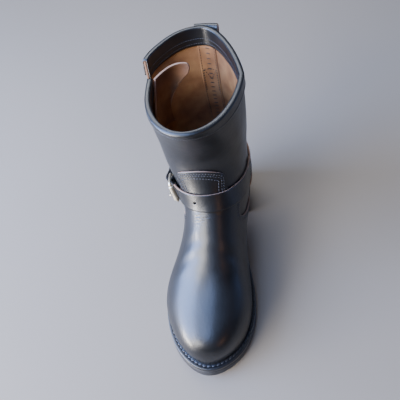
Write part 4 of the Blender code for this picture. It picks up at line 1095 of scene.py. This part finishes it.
def inside_back(depths, lines, lift):
    """Points and inward normals inside the shaft: lines of distances from the back line at depths."""
    columns = back_columns(TAPE_BESIDE, TAPE_WALL_STEPS)
    points = []
    normals = []
    for depth, across in zip(depths, lines):
        row = row_below_collar(np.array([1.0]), depth)
        wall = lay(row, columns, lift)
        length = path_length(wall)
        length -= length[TAPE_WALL_STEPS] + TAPE_SHIFT
        points.append(walk(across, length, wall))
        normals.append(walk(across, length, -outward(row, columns)))
    return np.array(points), unit(np.array(normals))


def tape_seam(corners):
    """A sewing line on the tape through corners of (depth, across)."""
    share = np.linspace(0, len(corners) - 1, TAPE_ROWS)
    depths, across = walk(share, np.arange(len(corners)), np.array(corners, float)).T
    points, normals = inside_back(depths, across[:, None], TAPE_FACE)
    return points[:, 0], normals[:, 0]


TAPE_FACE = -(WALL + GAP + TAPE_THICK)
BROWN_THREAD = waxed_thread("waxed_brown_thread", "#3a2519")
tape_depths = np.linspace(TAPE_TOP, TAPE_LOW, TAPE_ROWS + 1)
tape_across = np.linspace(TAPE_HALF, -TAPE_HALF, TAPE_COLUMNS + 1)
tape_points = inside_back(tape_depths, np.tile(tape_across, (len(tape_depths), 1)), TAPE_FACE)[0]
tape = leather_sheet("back_seam_tape", tape_points, TAPE_THICK, (FLESH_SIDE, FLESH_SIDE, CUT_EDGE))
tape_seams = [tape_seam([(TAPE_TOP, across), (TAPE_LOW, across)]) for across in (TAPE_SEAM, -TAPE_SEAM)]
tape_seams.append(tape_seam([(BOX_TOP, -BOX_HALF), (BOX_TOP, BOX_HALF), (BOX_LOW, BOX_HALF)]))
tape_seams.append(tape_seam([
    (BOX_LOW, -BOX_HALF), (BOX_TOP, -BOX_HALF), (BOX_POINT, 0.0), (BOX_TOP, BOX_HALF)]))
sew("back_tape_stitches", tape_seams, TAPE_STITCH, BROWN_THREAD)
ladder_depths = np.arange(TAPE_TOP + LADDER_HALF, TAPE_LOW, LADDER_STEP)
ladder = [tape_seam([(depth, -LADDER_HALF), (depth, LADDER_HALF)]) for depth in ladder_depths]
sew("back_closing_stitches", ladder, LADDER_STITCH, BROWN_THREAD)

# Pull loop: a folded strap of black leather sewn over the backstay with two rows. It stands off the back at
# its top, so that fingers can pull the boot on.
LOOP_HALF_WIDTH = 13.0
LOOP_THICK = 2.0
LOOP_SHIFT = 4.0
LOOP_STEPS = 90
LOOP_COLUMNS = 16
LOOP_BESIDE = 0.7
LOOP_WALL_STEPS = 61
LOOP_ROUND = 0.4
SHEET_ANGLE = 60.0
LOOP_SEAM_ROWS = slice(66, -2)
LOOP_SEAM_COLUMNS = (2, 14)
LoopPath = namedtuple("LoopPath", "depth lift hug")
LOOP_PATH = (
    LoopPath(55.0, 4.1, 1.0),
    LoopPath(42.0, 4.1, 1.0),
    LoopPath(28.0, 4.1, 0.9),
    LoopPath(14.0, 4.2, 0.7),
    LoopPath(5.0, 4.4, 0.5),
    LoopPath(2.0, 4.9, 0.4),
    LoopPath(0.3, 6.6, 0.4),
    LoopPath(0.8, 8.8, 0.4),
    LoopPath(3.5, 10.2, 0.4),
    LoopPath(10.0, 10.4, 0.5),
    LoopPath(22.0, 9.2, 0.7),
    LoopPath(36.0, 7.5, 0.9),
    LoopPath(47.0, 6.6, 1.0),
    LoopPath(55.0, 6.5, 1.0),
)


def loop_grid():
    """The loop's middle face: lines across it, laid on the wall's curve, at even steps along its fold."""
    columns = back_columns(LOOP_BESIDE, LOOP_WALL_STEPS)
    across = LOOP_SHIFT + np.linspace(-LOOP_HALF_WIDTH, LOOP_HALF_WIDTH, LOOP_COLUMNS + 1)
    lines = []
    for step in LOOP_PATH:
        wall = lay(row_below_collar(np.array([1.0]), step.depth), columns, step.lift)
        line = walk(wall[LOOP_WALL_STEPS - 1, 0] + across, wall[:, 0], wall)
        line[:, 1] += (1 - step.hug) * (line[:, 1].max() - line[:, 1])
        lines.append(line)
    lines = np.array(lines)
    knots = path_length(lines[:, LOOP_COLUMNS // 2])
    smooth = spline(knots, lines.reshape(len(lines), -1))(np.linspace(0, knots[-1], LOOP_STEPS + 1))
    return smooth.reshape(LOOP_STEPS + 1, LOOP_COLUMNS + 1, 3)


loop_points = loop_grid()
loop_sides = (BLACK_LEATHER, BLACK_LEATHER, CUT_EDGE)
pull_loop = leather_sheet("pull_loop_strap", loop_points, LOOP_THICK, loop_sides, middle=True)
round_edges(pull_loop, LOOP_ROUND, segments=2, angle=SHEET_ANGLE)
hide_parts("pull_loop")
loop_normals = unit(np.cross(np.gradient(loop_points, axis=1), np.gradient(loop_points, axis=0)))
loop_face = loop_points + loop_normals * (LOOP_THICK / 2 + SEAM_RISE)
loop_seams = [(loop_face[LOOP_SEAM_ROWS, column], loop_normals[LOOP_SEAM_ROWS, column])
              for column in LOOP_SEAM_COLUMNS]
sew("pull_loop_stitches", loop_seams, SEAM_STITCH, THREAD)

# Gusset flap: a flap of undyed leather behind the collar slit, sewn inside the front of the slit. Its free
# end swings inward, and its edges are cut raw and a little rounded.
FLAP_FRONT_TOP = 0.07
FLAP_FRONT_LOW = 0.17
FLAP_REACH = 0.11
FLAP_CURL = 1.45
FLAP_SWING = 42.0
FLAP_SWING_POWER = 1.05
FLAP_RISE_POWER = 1.8
FLAP_SEWN_SHARE = 0.25
FLAP_THICK = 1.9
FLAP_ROUND = 0.5
FLAP_ROW_LOW = SLIT_ROW - 0.4
FLAP_ROW_TOP = COLLAR_ROW + 0.05
FLAP_CORNER = 0.35
FLAP_CORNER_START = 0.8
FLAP_SEWN_DROP = 1.4
FLAP_COLUMNS = 60
FLAP_ROWS = 50

# The flap's flesh side is a darker copy of the shaft's flesh side: painted shade, as the flap is lit less
FLAP_SHADED_LEATHER = flesh_side("flap_leather_painted_shade", "#5d3f2b", "#73523b", "#886748")
flap_share = np.linspace(1, 0, FLAP_COLUMNS + 1)[None, :]
flap_corner = np.clip((flap_share - FLAP_CORNER_START) / (1 - FLAP_CORNER_START), 0, 1)
flap_sewn = np.clip(1 - flap_share / FLAP_SEWN_SHARE, 0, 1)
flap_top = FLAP_ROW_TOP - FLAP_CORNER * flap_corner**2 - FLAP_SEWN_DROP * flap_sewn
flap_rows = FLAP_ROW_LOW + (flap_top - FLAP_ROW_LOW) * np.linspace(0, 1, FLAP_ROWS + 1)[:, None]
flap_height = np.clip((flap_rows - FLAP_ROW_LOW) / (FLAP_ROW_TOP - FLAP_ROW_LOW), 0, 1)
flap_front = FLAP_FRONT_LOW + (FLAP_FRONT_TOP - FLAP_FRONT_LOW) * flap_height
flap_past = np.clip((flap_share - FLAP_SEWN_SHARE) / (1 - FLAP_SEWN_SHARE), 0, 1)
flap_curl = 1 + (FLAP_CURL - 1) * flap_height
flap_back = FLAP_REACH * np.sin(flap_past * flap_curl * math.pi / 2)
flap_around = SLIT_AROUND + flap_front * flap_sewn - flap_back
flap_swing = FLAP_SWING * flap_height**FLAP_RISE_POWER * flap_past**FLAP_SWING_POWER
flap_lift = -(WALL + FACING_THICK + 4 * GAP) - flap_swing
flap_points = lay(flap_rows, flap_around, flap_lift, np.zeros(flap_around.shape, bool))
flap = leather_sheet("gusset_flap_leather", flap_points, FLAP_THICK, (FLAP_SHADED_LEATHER, FLAP_SHADED_LEATHER, CUT_EDGE))
round_edges(flap, FLAP_ROUND, segments=2, angle=SHEET_ANGLE)
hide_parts("gusset_flap")

# Instep strap: a thick strip of black leather over the instep, sewn on the inner side, its free end through
# the buckle on the outer side. Its cut edges are raw but for the dyed tail and the dyed rim of a round
# punched hole to spare.
STRAP_LEVEL = 67.0
STRAP_SLOPE = 0.45
STRAP_HALF = 10.6
STRAP_THICK = 2.2
STRAP_END_ALONG = 52.0
STRAP_STEP = 2.0
ROLLER_AROUND = -0.375
BUCKLE_LENGTH = 22.0
STRAP_TAIL = 32.0
TAIL_ROUND = 8.0
TAIL_TIP = 0.45
TAIL_SHARES = (0.04, 0.1, 0.18, 0.3, 0.45, 0.6)
LENGTH_KEEP = 0.25
HOLE_HALF_SHARE = 0.12
HOLE_FIRST = -1.0
HOLE_LAST = 12.0
SPARE_HOLE_AROUND = -0.105
SPARE_HOLE_RADIUS = 1.7
HOLE_GRID = 0.4
HOLE_REACH = 2.4
HOLE_CLEAR = 3.2
HOLE_BAND = 0.3
BAND_STEPS = 7
# Place of the three dyed sides in the strap's list of materials
DYED_SLOT = 3
DYED_RIM = 1.0
END_SEAM_NEAR = 3.0
END_SEAM_FAR = 21.0
END_SEAM_STEPS = 12
END_SEAM_SHARE = 0.74
END_SEAM_ACROSS = 7
OVER_TAB = 3.0
ON_WALL = 0.7
TAB_SIDE_AROUND = 0.43
WALL_SIDE_AROUND = 0.52
UPPER_TAB_AROUND = 0.19
UPPER_WALL_AROUND = 0.30
STRAP_FAR = 300.0
LIFT_BLUR = 2.0
StrapLift = namedtuple("StrapLift", "behind_bar lift")
TAIL_LIFTS = (
    StrapLift(40.0, 4.5),
    StrapLift(26.0, 4.9),
    StrapLift(16.0, 5.2),
    StrapLift(12.0, 6.2),
    StrapLift(8.0, 7.8),
    StrapLift(4.0, 8.8),
    StrapLift(0.0, 9.0),
    StrapLift(-4.0, 8.4),
    StrapLift(-18.0, 3.0),
)


class StrapLine:
    """The strap over the wall: length from the ridge along its middle, share (-1 to 1) of its half width."""

    SHARES = np.linspace(-1, 1, 9)
    AROUND = np.linspace(-0.97, 0.97, 971)
    REACH = 40.0
    PAST_TAB = 0.3
    AHEAD = 1.0

    def __init__(self):
        levels = STRAP_LEVEL + STRAP_HALF * self.SHARES
        self.rows = np.array([row_on_plane(self.AROUND, level, STRAP_SLOPE) for level in levels])
        self.points = skin(self.rows, self.AROUND[None, :])
        self.middle = self.points[len(self.SHARES) // 2]
        self.length = path_length(self.middle)
        self.length -= np.interp(0.0, self.AROUND, self.length)

    def length_at(self, around):
        """The length along the strap at a column."""
        return np.interp(around, self.AROUND, self.length)

    def end_length(self, side):
        """The length at which the strap reaches its sewn end on one side."""
        half = self.AROUND * side > self.PAST_TAB
        return float(np.interp(STRAP_END_ALONG, -self.middle[half, 1][::-side], self.length[half][::-side]))

    def across(self, length):
        """Rows and columns, one for each share, of the line across the strap at a length."""
        here = walk(length, self.length, self.middle)
        ahead = walk(length + self.AHEAD, self.length, self.middle)
        near = np.abs(self.length - length) < self.REACH
        past = (self.points[:, near] - here) @ (ahead - here)
        around = np.array([np.interp(0.0, line, self.AROUND[near]) for line in past])
        row = np.array([np.interp(at, self.AROUND, line) for at, line in zip(around, self.rows)])
        return row, around


LINE = StrapLine()
ROLLER_AT = float(LINE.length_at(ROLLER_AROUND))
BAR_AT = ROLLER_AT - BUCKLE_LENGTH


def edge_lift(length, leaves_tab, meets_wall):
    """Lift of one edge of the strap's lower face: over the buckle's bar, over the vamp's tab, on the wall."""
    table = [(BAR_AT - row.behind_bar, row.lift) for row in TAIL_LIFTS]
    table += [(ROLLER_AT, OVER_TAB), (LINE.length_at(leaves_tab), OVER_TAB)]
    table += [(LINE.length_at(meets_wall), ON_WALL), (STRAP_FAR, ON_WALL)]
    table = np.array(table)
    near = [np.interp(length + shift, table[:, 0], table[:, 1]) for shift in (-LIFT_BLUR, 0.0, LIFT_BLUR)]
    return np.mean(near, axis=0)


def strap_lift(length, share):
    """Lift of the lower face: its upper edge meets the wall where the tab ends, its lower edge later."""
    low = edge_lift(length, TAB_SIDE_AROUND, WALL_SIDE_AROUND)
    high = edge_lift(length, UPPER_TAB_AROUND, UPPER_WALL_AROUND)
    return low + (high - low) * np.clip((share + 1) / 2, 0, 1)


def strap_grid(lengths, shares, lifts):
    """Points over the wall at lengths along the strap, shares of its half width (by length) and lifts."""
    lifts = np.broadcast_to(lifts, shares.shape)
    points = np.zeros((len(shares), len(lengths), 3))
    normals = np.zeros_like(points)
    for j, length in enumerate(lengths):
        row_line, around_line = LINE.across(length)
        row = np.interp(shares[:, j], StrapLine.SHARES, row_line)
        around = np.interp(shares[:, j], StrapLine.SHARES, around_line)
        points[:, j] = lay(row, around, lifts[:, j])
        normals[:, j] = outward(row, around)
    return points, normals


tail = BAR_AT - STRAP_TAIL
strap_end = LINE.end_length(1)
spare_at = float(LINE.length_at(SPARE_HOLE_AROUND))
hole_grid = np.arange(-HOLE_REACH, HOLE_REACH + HOLE_GRID / 2, HOLE_GRID)
even_lengths = np.arange(tail, strap_end, STRAP_STEP)
even_lengths = even_lengths[np.abs(even_lengths - spare_at) > HOLE_CLEAR]
strap_lengths = np.unique(np.concatenate([
    even_lengths, spare_at + hole_grid, tail + TAIL_ROUND * np.array(TAIL_SHARES),
    [BAR_AT + HOLE_FIRST, BAR_AT + HOLE_LAST, strap_end]]))
strap_lengths = strap_lengths[np.concatenate([[True], np.diff(strap_lengths) > LENGTH_KEEP])]
round_share = np.clip((strap_lengths - tail) / TAIL_ROUND, 0, 1)
strap_width = TAIL_TIP + (1 - TAIL_TIP) * np.sqrt(1 - (1 - round_share) ** 2)
side_band = np.linspace(HOLE_BAND, 1, BAND_STEPS)
strap_shares = np.unique(np.concatenate([-side_band, hole_grid / STRAP_HALF, side_band]))
strap_share_grid = strap_shares[:, None] * strap_width[None, :]
strap_face = strap_lift(strap_lengths[None, :], strap_share_grid) + STRAP_THICK
strap_points = strap_grid(strap_lengths, strap_share_grid, strap_face)[0]
cell_length = (strap_lengths[:-1] + strap_lengths[1:]) / 2
cell_share = (strap_shares[:-1] + strap_shares[1:]) / 2
from_spare = np.hypot(cell_share[:, None] * STRAP_HALF, cell_length[None, :] - spare_at)
over_slot = (cell_length > BAR_AT + HOLE_FIRST) & (cell_length < BAR_AT + HOLE_LAST)
punched = from_spare < SPARE_HOLE_RADIUS
punched |= (np.abs(cell_share)[:, None] < HOLE_HALF_SHARE) & over_slot[None, :]
strap = leather_sheet("instep_strap_leather", strap_points, STRAP_THICK, RAW_EDGED + DYED,
                      skip={tuple(cell) for cell in np.argwhere(punched)})
edge_dyed = (cell_length < ROLLER_AT)[None, :] | (from_spare < SPARE_HOLE_RADIUS + DYED_RIM)
for face, dyed in zip(strap.data.polygons, edge_dyed[~punched]):
    if dyed:
        face.material_index = DYED_SLOT
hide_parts("instep_strap")
end_lengths = strap_end - np.linspace(END_SEAM_NEAR, END_SEAM_FAR, END_SEAM_STEPS)
end_shares = np.linspace(-END_SEAM_SHARE, END_SEAM_SHARE, END_SEAM_ACROSS)
end_shares = np.repeat(end_shares[:, None], END_SEAM_STEPS, axis=1)
end_lifts = strap_lift(end_lengths[None, :], end_shares) + STRAP_THICK + SEAM_RISE
end_points, end_normals = strap_grid(end_lengths, end_shares, end_lifts)
end_seams = [(end_points[line], end_normals[line]) for line in (0, -1)]
end_seams += [(end_points[:, line], end_normals[:, line]) for line in (0, -1)]
sew("strap_end_stitches", end_seams, SEAM_STITCH, THREAD)

# Buckle strap: a short strip of black leather folded round the buckle's rear bar, both plies sewn down on
# the outer side, with a slot for the prong.
BAR_RADIUS = 1.5
BAR_LIFT = 4.4
HOLDER_PLY = 1.7
HOLDER_BEND = BAR_RADIUS + 2.5 * GAP + HOLDER_PLY / 2
HOLDER_BEND_STEPS = 17
HOLDER_LOWER_STEPS = 30
HOLDER_LOWER_END = 4.0
# The slot lies between the third and the fourth line and starts two steps into the bend
HOLDER_SHARES = (-0.95, -0.6, -0.18, 0.18, 0.6, 0.95)
HOLDER_SLOT_LINE = 2
HOLDER_SLOT_START = 2
HolderPly = namedtuple("HolderPly", "behind_bar lift")
HOLDER_TOP = (
    HolderPly(4.0, 6.2),
    HolderPly(8.0, 4.6),
    HolderPly(12.0, 3.6),
    HolderPly(19.0, 3.4),
    HolderPly(26.0, 3.4),
)
holder_turn = np.radians(np.linspace(-90, 90, HOLDER_BEND_STEPS))
lower_lengths = np.linspace(LINE.end_length(-1), BAR_AT - HOLDER_LOWER_END, HOLDER_LOWER_STEPS)
holder_path = [(length, ON_WALL + HOLDER_PLY / 2) for length in lower_lengths]
holder_path += [(BAR_AT + HOLDER_BEND * math.cos(turn), BAR_LIFT + HOLDER_BEND * math.sin(turn))
                for turn in holder_turn]
holder_path += [(BAR_AT - row.behind_bar, row.lift) for row in HOLDER_TOP]
holder_lengths, holder_lifts = np.array(holder_path).T
holder_shares = np.repeat(np.array(HOLDER_SHARES)[:, None], len(holder_path), axis=1)
holder_points = strap_grid(holder_lengths, holder_shares, holder_lifts)[0]
slot_steps = range(HOLDER_LOWER_STEPS + HOLDER_SLOT_START, HOLDER_LOWER_STEPS + HOLDER_BEND_STEPS)
holder = leather_sheet("buckle_strap_leather", holder_points, HOLDER_PLY, DYED,
                       skip={(HOLDER_SLOT_LINE, step) for step in slot_steps}, middle=True)
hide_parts("buckle_strap")

# Roller buckle: a bent nickel-plated steel frame, a tube that rolls on its front bar and a prong from its
# rear bar through the strap.
ROLLER_RADIUS = 2.9
ROLLER_BORE = 1.8
ROLLER_LENGTH = 19.0
ROLLER_LIP = 0.5
FRAME_HALF = 13.2
FRAME_CORNER = 3.0
PRONG_RADIUS = 1.1
BUCKLE_SIDES = 20
BUCKLE_TURNS = np.arange(BUCKLE_SIDES) * 2 * math.pi / BUCKLE_SIDES
FRAME_CORNER_STEPS = 9
RUB_MARK = 3.0


def nickel_plate():
    """Steel wire plated with nickel, polished and worn: a warm pale metal with fine rub marks."""
    material, tree, surface, place = new_material("nickel_plated_steel")
    rub = add_node(tree, "ShaderNodeTexNoise", {"Vector": place, "Scale": per_metre(RUB_MARK), "Detail": 5.0})
    add_node(tree, "ShaderNodeValToRGB", {"Fac": rub}, surface["Base Color"],
             stops=((0.3, "#d8cbb0"), (0.7, "#f3e9d2")))
    surface["Metallic"].default_value = 1.0
    add_node(tree, "ShaderNodeMapRange", {"Value": rub, "To Min": 0.34, "To Max": 0.48}, surface["Roughness"])
    return material


def strap_place(length, share, lift):
    """One point over the wall."""
    return strap_grid([length], np.array([[share]]), [lift])[0][0, 0]


ROLLER_LIFT = OVER_TAB + STRAP_THICK + 2 * GAP + ROLLER_RADIUS
ROLLER_MIDDLE = strap_place(ROLLER_AT, 0.0, ROLLER_LIFT)
BAR_MIDDLE = strap_place(BAR_AT, 0.0, BAR_LIFT)
BUCKLE_FORWARD = unit(ROLLER_MIDDLE - BAR_MIDDLE)
BUCKLE_SPAN = float(np.linalg.norm(ROLLER_MIDDLE - BAR_MIDDLE))
BUCKLE_WIDE = strap_place(ROLLER_AT, 1.0, ROLLER_LIFT) - strap_place(ROLLER_AT, -1.0, ROLLER_LIFT)
BUCKLE_WIDE += strap_place(BAR_AT, 1.0, BAR_LIFT) - strap_place(BAR_AT, -1.0, BAR_LIFT)
BUCKLE_NORMAL = unit(np.cross(BUCKLE_FORWARD, BUCKLE_WIDE))
BUCKLE_WIDE = unit(np.cross(BUCKLE_NORMAL, BUCKLE_FORWARD))


def buckle_point(forward, wide, high):
    """A point in the buckle's own frame, from the middle of its rear bar."""
    return BAR_MIDDLE + BUCKLE_FORWARD * forward + BUCKLE_WIDE * wide + BUCKLE_NORMAL * high


def bar(name, path, radii, material, closed=False):
    """A round bar along a path of points, with its radius at each point."""
    path = np.asarray(path, float)
    ahead = np.roll(path, -1, axis=0) - path
    behind = path - np.roll(path, 1, axis=0)
    if not closed:
        ahead[-1] = behind[-1]
        behind[0] = ahead[0]
    tangent = unit(unit(ahead) + unit(behind))
    side = unit(BUCKLE_NORMAL - tangent * (tangent @ BUCKLE_NORMAL)[:, None])
    rise = np.cross(tangent, side)
    turn = BUCKLE_TURNS[None, :, None]
    ring = side[:, None] * np.cos(turn) + rise[:, None] * np.sin(turn)
    points = (path[:, None] + ring * np.asarray(radii)[:, None, None]).reshape(-1, 3)
    faces = ring_faces(len(path), BUCKLE_SIDES, closed, flip=True)
    if not closed:
        faces.append(tuple(range(BUCKLE_SIDES))[::-1])
        faces.append(tuple(range(len(points)))[-BUCKLE_SIDES:])
    return add_piece(name, points, faces, [material])


NICKEL = nickel_plate()
front_corner = BUCKLE_SPAN - FRAME_CORNER
frame_path = []
for ahead, side, start in ((front_corner, 1, 0), (FRAME_CORNER, 1, 90), (FRAME_CORNER, -1, 180),
                           (front_corner, -1, 270)):
    wide = side * (FRAME_HALF - FRAME_CORNER)
    for turn in np.radians(start + np.linspace(0, 90, FRAME_CORNER_STEPS)):
        frame_path.append(buckle_point(
            ahead + FRAME_CORNER * math.cos(turn), wide + FRAME_CORNER * math.sin(turn), 0.0))
buckle_frame = bar("buckle_frame_wire", frame_path, np.full(len(frame_path), BAR_RADIUS), NICKEL, closed=True)
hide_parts("buckle_frame")

roller_half = ROLLER_LENGTH / 2
roller_profile = (
    (-roller_half, ROLLER_BORE), (-roller_half, ROLLER_RADIUS - ROLLER_LIP),
    (-roller_half + ROLLER_LIP, ROLLER_RADIUS), (roller_half - ROLLER_LIP, ROLLER_RADIUS),
    (roller_half, ROLLER_RADIUS - ROLLER_LIP), (roller_half, ROLLER_BORE))
roller_points = [buckle_point(BUCKLE_SPAN + radius * math.cos(turn), wide, radius * math.sin(turn))
                 for wide, radius in roller_profile for turn in BUCKLE_TURNS]
roller_faces = ring_faces(len(roller_profile), BUCKLE_SIDES, closed=True)
roller = add_piece("buckle_roller_tube", roller_points, roller_faces, [NICKEL])
soften(roller, angle=35)
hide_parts("buckle_roller")

OVER_BAR = BAR_RADIUS + GAP + PRONG_RADIUS
OVER_ROLLER = ROLLER_RADIUS + GAP + PRONG_RADIUS
Prong = namedtuple("Prong", "forward high radius", defaults=(PRONG_RADIUS,))
PRONG = (
    Prong(-2.1, OVER_BAR - 0.75, 0.9),
    Prong(-1.0, OVER_BAR - 0.15),
    Prong(0.3, OVER_BAR),
    Prong(3.0, OVER_BAR + 0.1),
    Prong(BUCKLE_SPAN - 1.5, OVER_ROLLER),
    Prong(BUCKLE_SPAN + 1.5, OVER_ROLLER),
    Prong(BUCKLE_SPAN + 3.2, OVER_ROLLER - 0.35, 1.0),
    Prong(BUCKLE_SPAN + 4.0, OVER_ROLLER - 0.6, 0.55),
)
prong_path = [buckle_point(row.forward, 0.0, row.high) for row in PRONG]
prong = bar("buckle_prong_wire", prong_path, [row.radius for row in PRONG], NICKEL)
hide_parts("buckle_prong")

# Stage: a plain matt painted floor, a large cool softbox on the outer side, panels overhead, behind, in front
# and low on the outer side, two weak fills on the inner side, and a camera high in front of the toe.
FLOOR_HALF = 4.0
FLOOR_CLOUD = 400.0


def painted_floor():
    """Matt painted studio floor: pale warm grey with a faint cloud."""
    material, tree, surface, place = new_material("matt_painted_floor")
    cloud = add_node(tree, "ShaderNodeTexNoise", {
        "Vector": place, "Scale": per_metre(FLOOR_CLOUD), "Detail": 3.0})
    add_node(tree, "ShaderNodeValToRGB", {"Fac": cloud}, surface["Base Color"],
             stops=((0.0, "#7a7165"), (1.0, "#81786c")))
    surface["Roughness"].default_value = 0.8
    return material


floor_mesh = bpy.data.meshes.new("floor")
floor_mesh.from_pydata([(-FLOOR_HALF, -FLOOR_HALF, 0), (FLOOR_HALF, -FLOOR_HALF, 0),
                        (FLOOR_HALF, FLOOR_HALF, 0), (-FLOOR_HALF, FLOOR_HALF, 0)], [], [(0, 1, 2, 3)])
floor_mesh.materials.append(painted_floor())
floor = bpy.data.objects.new("floor", floor_mesh)
bpy.context.scene.collection.objects.link(floor)

Light = namedtuple("Light", "name place aim width height watts colour")
LIGHTS = (
    Light("outer_softbox", (-1.22, -0.30, 0.74), (0.0, -0.10, 0.06), 0.9, 1.4, 125.0, "#9dbdff"),
    Light("overhead_panel", (-0.28, -0.48, 1.4), (0.0, -0.1, 0.05), 0.9, 0.5, 17.0, "#a0bfff"),
    Light("sky_panel", (-0.4, 0.8, 1.45), (0.0, 0.0, 0.1), 1.0, 1.0, 32.0, "#e6ebf6"),
    Light("front_panel", (-0.78, -0.95, 0.82), (0.0, 0.0, 0.1), 0.6, 0.6, 30.0, "#f8f4ec"),
    Light("low_panel", (-1.08, -0.70, 0.15), (0.0, -0.1, 0.05), 0.6, 0.28, 46.0, "#fff6ea"),
    Light("inner_fill", (1.3, 0.4, 0.4), (0.0, 0.0, 0.1), 0.8, 0.6, 3.5, "#8fb0ff"),
    Light("warm_fill", (0.93, -0.95, 0.7), (0.0, -0.1, 0.05), 0.35, 0.35, 1.2, "#ffb984"),
)
for light in LIGHTS:
    data = bpy.data.lights.new(light.name, "AREA")
    data.shape = "RECTANGLE"
    data.size = light.width
    data.size_y = light.height
    data.energy = light.watts
    data.color = linear(light.colour)[:3]
    lamp = bpy.data.objects.new(light.name, data)
    lamp.location = light.place
    lamp.visible_camera = False
    lamp.rotation_euler = (Vector(light.aim) - Vector(light.place)).to_track_quat("-Z", "Y").to_euler()
    bpy.context.scene.collection.objects.link(lamp)
world = bpy.data.worlds.new("studio_room")
world.use_nodes = True
room = world.node_tree.nodes["Background"].inputs
room["Color"].default_value = linear("#aab4c4")
room["Strength"].default_value = 0.18
bpy.context.scene.world = world

# Camera fitted to the sole's outline, the collar and the strap; millimetres in the boot's own frame
IMAGE_SIZE = 400.0
CAMERA_PLACE = np.array([72.7, -386.2, 511.0])
CAMERA_PITCH = math.radians(56.0)
CAMERA_YAW = math.radians(-5.86)
CAMERA_ROLL = math.radians(-3.9)
FOCAL_PIXELS = 424.1
AIM_PIXEL = (148.0, 203.0)
SENSOR = 36.0
level_forward = np.array([math.sin(CAMERA_YAW), math.cos(CAMERA_YAW), 0.0])
forward = level_forward * math.cos(CAMERA_PITCH) - np.array([0.0, 0.0, math.sin(CAMERA_PITCH)])
level = np.array([math.cos(CAMERA_YAW), -math.sin(CAMERA_YAW), 0.0])
upright = np.cross(level, forward)
image_right = math.cos(CAMERA_ROLL) * level + math.sin(CAMERA_ROLL) * upright
image_up = -math.sin(CAMERA_ROLL) * level + math.cos(CAMERA_ROLL) * upright
aim = unit(forward + image_right * (AIM_PIXEL[0] - IMAGE_SIZE / 2) / FOCAL_PIXELS
           - image_up * (AIM_PIXEL[1] - IMAGE_SIZE / 2) / FOCAL_PIXELS)
image_right = unit(image_right - aim * (image_right @ aim))
image_up = np.cross(image_right, aim)
camera_data = bpy.data.cameras.new("photo_camera")
camera_data.sensor_width = SENSOR
camera_data.lens = FOCAL_PIXELS * SENSOR / IMAGE_SIZE
camera_data.clip_start = 0.01
camera = bpy.data.objects.new("photo_camera", camera_data)
bpy.context.scene.collection.objects.link(camera)
turn = np.stack([image_right, image_up, -aim], axis=1)
camera.matrix_world = Matrix.Translation(Vector(CAMERA_PLACE * MM + PLACE)) @ Matrix(turn.tolist()).to_4x4()
bpy.context.scene.camera = camera
